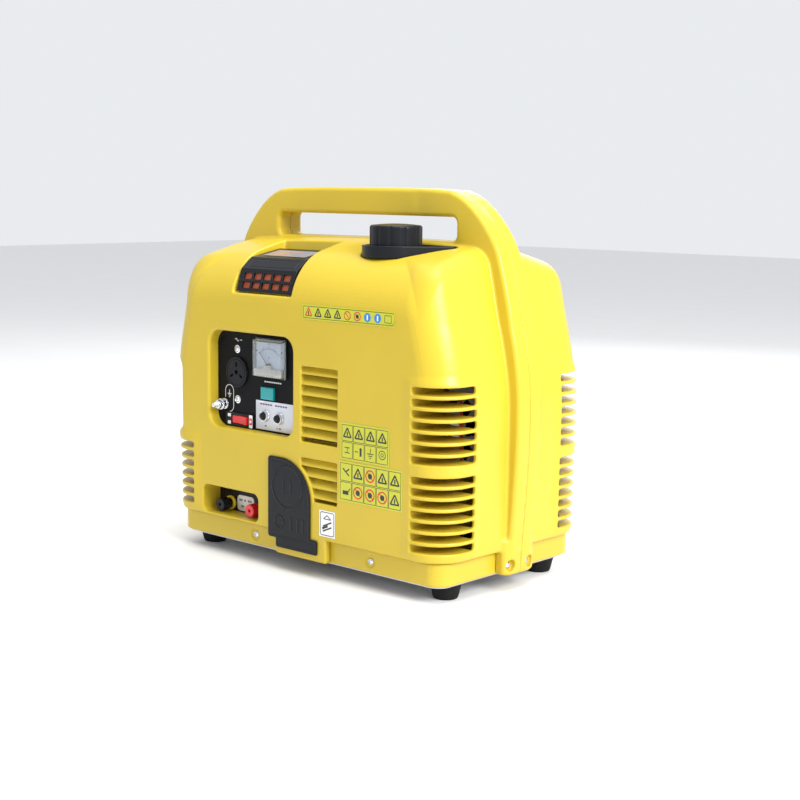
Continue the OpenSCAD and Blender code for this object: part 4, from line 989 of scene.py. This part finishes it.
def build_ground():
    def stud(x, y, z):
        r = disc(x, z, GROUND, 0)
        turn = np.arctan2(z - GROUND[1], x - GROUND[0]) / (2 * math.pi)
        thread = 0.42 * np.abs(((y + 200) / 1.0 + turn) % 1 * 2 - 1)
        return round_common(r - 3 + thread, slab(y, -137.5, -104), 0.5)

    rod = moulded("earth_stud", (-147, -138.2, 185), (-138, -103, 194), 0.18, stud, keep=0.3)
    finish_piece(rod, CHROME, "casing", "chrome", "ground_stud")

    def nuts(x, y, z):
        dx, dz = x - GROUND[0], z - GROUND[1]
        out = np.float32(1e3)
        r = disc(x, z, GROUND, 0)
        for back in (PANEL_Y, -124.3):
            washer = round_common(r - 7, slab(y, back - 1.2, back), 0.25)
            hexagon = np.float32(-1e3)
            for side in range(3):
                a = math.radians(15 + 60 * side)
                hexagon = np.maximum(hexagon, np.abs(dx * math.cos(a) + dz * math.sin(a)) - 5.2)
            nut = round_common(hexagon, slab(y, back - 6, back - 1.2), 0.2)
            nut = np.maximum(nut, r - 5.75)
            out = np.minimum(out, np.minimum(washer, nut))
        return np.maximum(out, 2.75 - r)

    nut = moulded("earth_nuts", (-150.5, -131.2, 181.5), (-134.5, -117.4, 197.5), 0.22, nuts, keep=0.3)
    finish_piece(nut, CHROME, "casing", "chrome", "ground_nuts")


# ------------------------------------------------------------ direct current posts

POCKET_Y = -104
POSTS = ((-147, 60.5), (-92, 60.5))


def build_posts():
    plate = front_plate("post_panel", rounded((-170.6, 48.4), (-62.4, 88.6), 10), POCKET_Y, POCKET_Y + 2.5)
    finish_piece(plate, BLACK, "casing", "black_plastic", "dc_panel")
    ring = lathe("post_ring", [(2.7, 0), (2.7, -2.6), (8.4, -2.6), (9, -2), (9, 0)],
                 (POSTS[0][0], POCKET_Y, POSTS[0][1]), "y")
    finish_piece(ring, YELLOW_PART, "casing", "yellow_plastic", "dc_ring")
    label = front_plate("post_label", rounded((-135, 52.5), (-104, 72.5), 5), POCKET_Y - 0.6, POCKET_Y)
    finish_piece(label, WHITE_FILM, "casing", "label_film")
    words = ((66.5, (-131, -125), (-122, -118.5), (-115.5, -108)), (58.5, (-128, -122), (-119, -111)))
    marks = [bar(start, row, end, row, 3) for row, *spans in words for start, end in spans]
    panel_marks("post_label_marks", marks, GREY_INK, POCKET_Y - 0.6)

    def knob_shape(place):
        def shape(x, y, z):
            r = disc(x, z, place, 0)
            turn = np.arctan2(z - place[1], x - place[0])
            knurl = 0.35 * np.cos(turn * 18)
            grip = round_common(r - 7.9 - knurl, slab(y, -123.5, -111.5), 0.9)
            skirt = round_common(r - 6.6, slab(y, -112.5, -107), 0.6)
            body = np.minimum(grip, skirt)
            body = round_cut(body, np.maximum(r - 2.05, y + 111.8), 0.5)
            body = np.maximum(body, -np.maximum(r - 2.6, -111.8 - y))
            cross_hole = np.maximum(disc(x, y, (place[0], -109.2), 1.1), slab(z, 40, 80))
            return np.maximum(body, -cross_hole)
        return shape

    kinds = (("negative", BLACK, "black_plastic"), ("positive", RED, "red_plastic"))
    for place, (side, finish, slot_name) in zip(POSTS, kinds):
        low = (place[0] - 9, -124.3, place[1] - 9)
        high = (place[0] + 9, -106.3, place[1] + 9)
        knob = moulded(f"post_knob_{side}", low, high, 0.25, knob_shape(place), keep=0.3)
        finish_piece(knob, finish, f"post_{side}", slot_name, f"dc_knob_{side}")


# ------------------------------------------------------------ covers


def build_oil_cover():
    def shape(x, y, z):
        outline = cover_outline(x, z)
        plate = round_common(outline, slab(y, -136.7, -134.3), 0.9)
        raised = [(np.abs(disc(x, z, (-10, 104), 25.5)) - 1, -137.5)]
        raised += [(round_box(x, z, (cx - 1.1, 96), (cx + 1.1, 112), 1), -137.5) for cx in (-16, -4)]
        raised += [(np.abs(disc(x, z, (-24, 60), 7.6)) - 1, -137.5)]
        raised += [(round_box(x, z, (cx - 1.4, 52), (cx + 1.4, 68), 1), -137.3) for cx in (-4, 8, 17)]
        for field, face in raised:
            plate = round_union(plate, round_common(field, slab(y, face, -135), 0.35), 0.3)
        groove = np.abs(outline + 4.5) - 0.35
        plate = round_cut(plate, np.maximum(groove, y + 136.4), 0.15)
        plug = np.abs(round_box(x, z, (-36.25, 56.75), (8.25, 116.25), 3)) - 1.25
        plug = round_common(plug, slab(y, -135, -128), 0.6)
        return np.minimum(plate, plug)

    cover = moulded("oil_cover_plate", (-47, -138.4, 26), (42.5, -127, 142), 0.6, shape, keep=0.3)
    finish_piece(cover, BLACK, "oil_cover", "black_plastic", "oil_access_cover")


def build_top_cover():
    foot, knee, brow = (-129, 333), (-120, 360.5), (-103.5, 373.7)
    outline = [foot, knee, brow, (-56, 383), (-56, 374), (-100, 363), (-114, 350), (-124.5, 333)]
    room = [(-126.6, 329), (-117.8, 358.8), (-102.6, 371.2), (-58.5, 379.8), (-58.5, 360), (-110, 330)]
    lean = math.atan2(knee[1] - foot[1], knee[0] - foot[0])

    def shape(x, y, z):
        plate = round_common(polygon(y, z, outline), slab(x, -109, -12), 1.0)
        plate = np.maximum(plate, -np.maximum(polygon(y, z, room), slab(x, -106.5, -14.5)))
        # u runs up the steep face and w out of it
        dy, dz = y - foot[0], z - foot[1]
        u = dy * math.cos(lean) + dz * math.sin(lean)
        w = -dy * math.sin(lean) + dz * math.cos(lean)
        for row in (0, 1):
            for i in range(5):
                low = -101 + 17 * i
                slot = round_box(x, u, (low, 4.5 + row * 11.5), (low + 13.5, 12 + row * 11.5), 0.8)
                plate = round_cut(plate, np.maximum(slot, np.abs(w) - 5), 0.4)
        rib = np.maximum(slab(x, -107, -14), np.sqrt((u - 14.2) ** 2 + (w - 0.3) ** 2) - 0.8)
        plate = np.minimum(plate, rib)
        # a thin frame engraved in the sloping face
        length = math.dist(knee, brow)
        dy, dz = y - knee[0], z - knee[1]
        run, rise = brow[0] - knee[0], brow[1] - knee[1]
        along = (dy * run + dz * rise) / length
        away = (-dy * rise + dz * run) / length
        frame_line = np.abs(round_box(x, along, (-101, 3.4), (-20, 16.8), 0.8)) - 0.4
        return round_cut(plate, np.maximum(frame_line, np.abs(away) - 0.5), 0.15)

    cover = moulded("top_cover_plate", (-111, -131, 331), (-10, -54, 385), 0.6, shape, keep=0.3)
    finish_piece(cover, BLACK, "top_cover", "black_plastic", "top_vent_cover")
    corners = [(-98, -95, 375.75), (-24, -95, 375.75), (-24, -66, 381.4), (-98, -66, 381.4)]
    label = mesh_piece("top_cover_label", corners, [(0, 1, 2, 3)])
    finish_piece(label, GREY_INK, "top_cover", "label_film")
    strips = []
    for i in range(4):
        y0 = -91 + 6 * i
        z0 = 375.8 + (y0 + 95) * 0.1948 + 0.08
        y1, z1 = y0 + 1.5, z0 + 0.29
        end = -52 - 8 * (i % 3)
        corners = [(-92, y0, z0), (end, y0, z0), (end, y1, z1), (-92, y1, z1)]
        strips.append(mesh_piece(f"strip_{i}", corners, [(0, 1, 2, 3)]))
    finish_piece(join("top_cover_strips", strips), ORANGE_INK, "top_cover", "label_film")


# ------------------------------------------------------------ fuel cap, tray, grip and knobs


def build_cap():
    def shape(x, y, z):
        r = disc(x, y, FILLER, 0)
        turn = np.arctan2(y - FILLER[1], x - FILLER[0])
        side = r - 30.6
        dome = (z - 418.8 + 0.0022 * r * r) * 0.98
        body = round_common(side, dome, 2.6)
        body = round_common(body, 392 - z, 0.8)
        turn -= math.radians(30) * np.round(turn / math.radians(30))
        scallop = np.sqrt((r * np.cos(turn) - 33) ** 2 + (r * np.sin(turn)) ** 2) - 3.4
        body = round_cut(body, scallop, 0.9)
        hollow = np.maximum(r - 22.5, z - 406.3)
        return np.maximum(body, -hollow)

    low = (FILLER[0] - 33, FILLER[1] - 33, 390.5)
    high = (FILLER[0] + 33, FILLER[1] + 33, 420.5)
    cap = moulded("cap_body", low, high, 0.55, shape, keep=0.35)
    finish_piece(cap, BLACK, "fuel_cap", "black_plastic", "fuel_cap")


def build_drip_tray():
    def shape(x, y, z):
        outline = tray_outline(x, y)
        outside = round_common(outline, slab(z, 380, 394), 0.9)
        r = disc(x, y, FILLER, 0)
        room = np.maximum(outline + 2.6, np.maximum(383 - z, np.minimum(27.4 - r, 389 - z)))
        tray = round_cut(outside, room, 0.5)
        return np.maximum(tray, 24.5 - r)

    tray = moulded("tray_dish", (50, -103, 378.5), (162, -14, 395.5), 0.6, shape, keep=0.3)
    finish_piece(tray, BLACK, "casing", "black_plastic", "fuel_drip_tray")


def build_grip():
    def shape(x, y, z):
        handle = round_box(y, z, (-97, 176), (-79, 232), 5)
        body = round_common(handle, slab(x, -228, -216), 4)
        stem = np.maximum(disc(y, z, GRIP, 7), slab(x, -218, -212.3))
        body = round_union(body, stem, 2)
        for side in (-1, 1):
            groove = disc(y, x, (GRIP[0] + side * 11.5, -222), 4)
            body = round_cut(body, np.maximum(groove, slab(z, 184, 224)), 1)
        return body

    grip = moulded("grip_handle", (-230, -99, 174), (-210.5, -77, 234), 0.5, shape, keep=0.35)
    finish_piece(grip, BLACK, "starter_grip", "black_plastic", "recoil_grip")


def build_side_knobs():
    knob = [(0.1, -12), (7.4, -12), (8.6, -11.2), (9, -10), (9, -7), (8.2, -6), (8.2, -4), (9, -3),
            (9, -0.4), (8.6, 0), (2.7, 0), (2.7, 32), (0.1, 32)]
    choke = lathe("choke_handle", knob, (-228, *CHOKE), "x")
    finish_piece(choke, BLACK, "choke", "black_plastic", "choke_knob")

    def shape(x, y, z):
        r = disc(y, z, FUEL_COCK, 0)
        base = round_common(r - 12, slab(x, -238, -228), 1.2)
        shaft = np.maximum(r - 3.7, slab(x, -229, -196))
        lever = round_common(round_box(y, z, (-53, 276), (-47, 304), 2.5), slab(x, -246, -236), 1.2)
        return np.minimum(round_union(base, lever, 1.5), shaft)

    lever = moulded("fuel_lever", (-247.5, -64, 274), (-194.5, -36, 306), 0.6, shape, keep=0.35)
    finish_piece(lever, BLACK, "fuel_cock", "black_plastic", "fuel_cock_lever")


def build_exhaust():
    def shape(x, y, z):
        dx, dz = x - EXHAUST[0], z - EXHAUST[1]
        r = np.sqrt(dx * dx + dz * dz)
        plate = round_common(r - 26, slab(y, 130.5, 134), 0.8)
        for i in range(-2, 3):
            half = 16 - 3 * abs(i)
            slot = round_box(dx, dz, (-half, i * 8 - 2), (half, i * 8 + 2), 1.9)
            plate = round_cut(plate, np.maximum(slot, slab(y, 120, 140)), 0.6)
        return plate

    grille = moulded("exhaust_plate", (-90, 129, 207), (-34, 135.5, 263), 0.5, shape, keep=0.3)
    finish_piece(grille, DARK_STEEL, "casing", "dark_steel", "exhaust_grille")


def build_rope():
    """The visible rope, a twisted cord from the reel to the grip."""
    def shape(x, y, z):
        turn = np.arctan2(z - GRIP[1], y - GRIP[0])
        strands = 0.22 * np.abs(np.cos(1.5 * turn + x * 1.1))
        return np.maximum(disc(y, z, GRIP, 1.75) - strands, slab(x, -215, -204))

    rope = moulded("starter_cord", (-216, -91, 201), (-203, -85, 207), 0.25, shape)
    rope.data.materials.append(ROPE)
    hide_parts("starter_rope")
    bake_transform(rope)


# ------------------------------------------------------------ printed labels


def build_labels():
    """Three yellow-green label films and a white one, with plain marks in thin cells."""
    spans = (((12.5, 307), (157.5, 324.5)), ((76, 150), (152, 193)), ((74, 101), (172, 148)))
    films = [film(f"film_{number}", [low, (low[0], high[1]), high, (high[0], low[1])], 0.35)
             for number, (low, high) in enumerate(spans)]
    finish_piece(join("label_films", films), FILM, "casing", "label_film", "label_plates")
    white = film("label_white", [(42, 53.6), (42, 85), (68, 85), (68, 53.6)], 0.35)
    finish_piece(white, WHITE_FILM, "casing", "label_film")

    finishes = {"black": INK, "red": RED_INK, "blue": BLUE_INK, "white": WHITE_FILM}
    ink = {colour: [] for colour in finishes}

    def stroke(colour, *outlines):
        ink[colour] += outlines

    def border(corners, width, reach):
        """Black line round an outline, in strokes about as long as reach that follow the skin."""
        for a, b in zip(corners, corners[1:] + corners[:1]):
            if math.dist(a, b) < 0.1:
                continue
            pieces = max(1, int(math.dist(a, b) // reach))
            for i in range(pieces):
                p = [a[k] + (b[k] - a[k]) * i / pieces for k in (0, 1)]
                q = [a[k] + (b[k] - a[k]) * (i + 1) / pieces for k in (0, 1)]
                stroke("black", bar(*p, *q, width))

    def cell(low, high):
        border([low, (low[0], high[1]), high, (high[0], low[1])], 0.6, 10)

    def triangle(at, r, colour="black"):
        points = [around(at, r, angle) for angle in (90, 210, 330)]
        for a, b in zip(points, points[1:] + points[:1]):
            stroke(colour, bar(*a, *b, r * 0.26))
        stroke("black", bar(at[0], at[1] + r * 0.36, at[0], at[1] - r * 0.3, r * 0.26))

    def ring(at, r, colour, fill=None):
        if fill:
            stroke(fill, ring_outline(at, r * 0.5, 14))
        stroke(colour, *arc_bars(at, r, 0, 360, r * 0.24, 18))
        stroke(colour, bar(at[0] - r * 0.66, at[1] + r * 0.66, at[0] + r * 0.66, at[1] - r * 0.66, r * 0.2))

    def figure(at, r):
        stroke("black", ring_outline((at[0], at[1] + r * 0.55), r * 0.3, 12))
        stroke("black", bar(at[0], at[1] + r * 0.3, at[0], at[1] - r * 0.8, r * 0.5))

    def strokes(at, *rows):
        """Black strokes, each given as two points about the centre and a width."""
        for x0, z0, x1, z1, width in rows:
            stroke("black", bar(at[0] + x0, at[1] + z0, at[0] + x1, at[1] + z1, width))

    # strip near the top: small signs in a row
    cell((14.5, 309), (155.5, 322.5))
    signs = ("red", "tri", "tri", "tri", "ring", "dotted", "disc", "disc", "cell")
    for i, sign in enumerate(signs):
        at = (23 + 15.6 * i, 315.6)
        if sign in ("red", "tri"):
            triangle((at[0], at[1] - 0.8), 6, "red" if sign == "red" else "black")
        elif sign == "ring":
            ring(at, 4.8, "red")
        elif sign == "dotted":
            ring(at, 4.8, "red", "black")
        elif sign == "disc":
            stroke("blue", ring_outline(at, 5.2, 24))
            stroke("white", bar(at[0], at[1] + 3, at[0], at[1] - 3, 2))
        else:
            cell((at[0] - 5, at[1] - 4), (at[0] + 5, at[1] + 4))

    # upper block: four by two cells
    for column in range(4):
        for row in range(2):
            low = (78.4 + 18.1 * column, 152 + 20 * row)
            high = (low[0] + 16.8, low[1] + 18.4)
            cell(low, high)
            at = ((low[0] + high[0]) / 2, (low[1] + high[1]) / 2)
            if row == 1:
                triangle((at[0], at[1] - 1.2), 7)
            elif column == 0:
                strokes(at, (-4, -3, 4, -3, 1), (-4, 3, 4, 3, 1), (0, -3, 0, 3, 0.8))
            elif column == 1:
                figure((at[0] + 3, at[1]), 6)
                strokes(at, (-6, 0, -1, 0, 1))
            elif column == 2:
                strokes(at, (0, 6, 0, 0, 1), (-5, 0, 5, 0, 1), (-3, -2.4, 3, -2.4, 1),
                        (-1.4, -4.8, 1.4, -4.8, 1))
            else:
                stroke("black", *arc_bars((at[0], at[1] + 1), 5, 0, 360, 0.9, 14))
                stroke("black", *arc_bars((at[0], at[1] + 1), 2, 0, 360, 0.8, 10))

    # lower block: five by two cells
    for column in range(5):
        for row in range(2):
            low = (76.2 + 18.9 * column, 103.2 + 22 * row)
            high = (low[0] + 17.8, low[1] + 20.4)
            cell(low, high)
            at = ((low[0] + high[0]) / 2, (low[1] + high[1]) / 2)
            kind = ("bolt", "tri", "ring", "tri", "tri") if row else ("pot", "ring", "ring", "ring", "tri")
            sign = kind[column]
            if sign == "tri":
                triangle((at[0], at[1] - 1.2), 7.4)
            elif sign == "ring":
                ring(at, 6.6, "red", "black")
            elif sign == "bolt":
                strokes(at, (-5, 4, 5, -4, 1.6), (5, 4, -1, 0, 1.6))
            else:
                strokes(at, (-5, -2, 4, -2, 4.6), (3, -1, 7, 3.6, 1.2))

    # white label: rounded black border and a plain tank-and-spout shape
    border(rounded((44, 55.6), (66, 83), 2.4, 4), 0.9, 8)
    strokes((0, 0), (48, 60, 62, 66, 1.7), (48, 66, 62, 72, 1.7), (49, 75, 55, 79.6, 1),
            (55, 79.6, 61, 75, 1), (49, 75, 61, 75, 1), (47, 63, 56, 67, 2.6))

    for colour, outlines in ink.items():
        faces = []
        lift = 0.55 if colour == "white" else 0.45
        xs = np.array([p[0] for o in outlines for p in o], np.float32)
        zs = np.array([p[1] for o in outlines for p in o], np.float32)
        ys = skin_y(xs, zs) - lift
        start = 0
        for outline in outlines:
            faces.append(tuple(range(start, start + len(outline))))
            start += len(outline)
        marks = mesh_piece(f"label_marks_{colour}", list(zip(xs, ys, zs)), faces)
        finish_piece(marks, finishes[colour], "casing", "label_film")


# ------------------------------------------------------------ stage, lights and camera


# name, place, point aimed at, size, watts
LIGHTS = (
    ("key", (2.2, -0.3, 1.4), (0.05, 0, 0.22), (1.2, 1.2), 72),
    ("top", (0.3, -0.1, 2.2), (0, 0, 0.3), (1.6, 1.6), 42),
    ("back", (-0.8, 2.0, 1.4), (0, 0, 0.25), (1.4, 1.2), 18),
)


def area_light(name, place, aim, size, watts):
    lamp = bpy.data.lights.new(name, "AREA")
    lamp.shape = "RECTANGLE"
    lamp.size, lamp.size_y = size
    lamp.energy = watts
    piece = bpy.data.objects.new(name, lamp)
    piece.location = place
    piece.rotation_euler = (Vector(aim) - Vector(place)).to_track_quat("-Z", "Y").to_euler()
    bpy.context.collection.objects.link(piece)


def build_stage():
    floor = material("floor_paint", (0.8, 0.8, 0.8), 0.6, grain=40, depth=0.0002, vary=0.01)
    mesh = bpy.data.meshes.new("floor")
    mesh.from_pydata([(-8, -8, 0), (8, -8, 0), (8, 8, 0), (-8, 8, 0)], [], [(0, 1, 2, 3)])
    mesh.materials.append(floor)
    plane = bpy.data.objects.new("floor", mesh)
    bpy.context.collection.objects.link(plane)
    world = bpy.data.worlds.new("studio")
    bpy.context.scene.world = world
    world.use_nodes = True
    world.node_tree.nodes["Background"].inputs["Color"].default_value = (0.95, 0.97, 1.0, 1)
    world.node_tree.nodes["Background"].inputs["Strength"].default_value = 0.86
    for light in LIGHTS:
        area_light(*light)
    scene = bpy.context.scene
    scene.view_settings.view_transform = "Standard"
    scene.view_settings.look = "None"


# camera of the photo: place in metres, turn, tilt and roll in degrees, focal length
CAMERA_PLACE = (1.2710, -1.3569, 0.4634)
CAMERA_ANGLES = (42.07, -8.14, 0.69)
CAMERA_LENS = 67.78


def build_camera():
    turn, drop, roll = (math.radians(angle) for angle in CAMERA_ANGLES)
    ahead = Vector((-math.sin(turn) * math.cos(drop), math.cos(turn) * math.cos(drop), math.sin(drop)))
    level = Vector((math.cos(turn), math.sin(turn), 0))
    upright = level.cross(ahead)
    right = level * math.cos(roll) + upright * math.sin(roll)
    up = -level * math.sin(roll) + upright * math.cos(roll)
    lens = bpy.data.cameras.new("camera")
    lens.lens = CAMERA_LENS
    lens.sensor_width = 36
    camera = bpy.data.objects.new("camera", lens)
    camera.matrix_world = Matrix((
        (right.x, up.x, -ahead.x, CAMERA_PLACE[0]),
        (right.y, up.y, -ahead.y, CAMERA_PLACE[1]),
        (right.z, up.z, -ahead.z, CAMERA_PLACE[2]),
        (0, 0, 0, 1),
    ))
    bpy.context.collection.objects.link(camera)
    bpy.context.scene.camera = camera


build_camera()
build_stage()
dress_frame()
build_casing()
build_tray_pan()
build_feet()
build_screws()
build_panel()
build_socket()
build_meter()
build_lamp()
build_breakers()
build_rocker()
build_ground()
build_posts()
build_oil_cover()
build_top_cover()
build_cap()
build_drip_tray()
build_grip()
build_side_knobs()
build_exhaust()
build_rope()
build_labels()
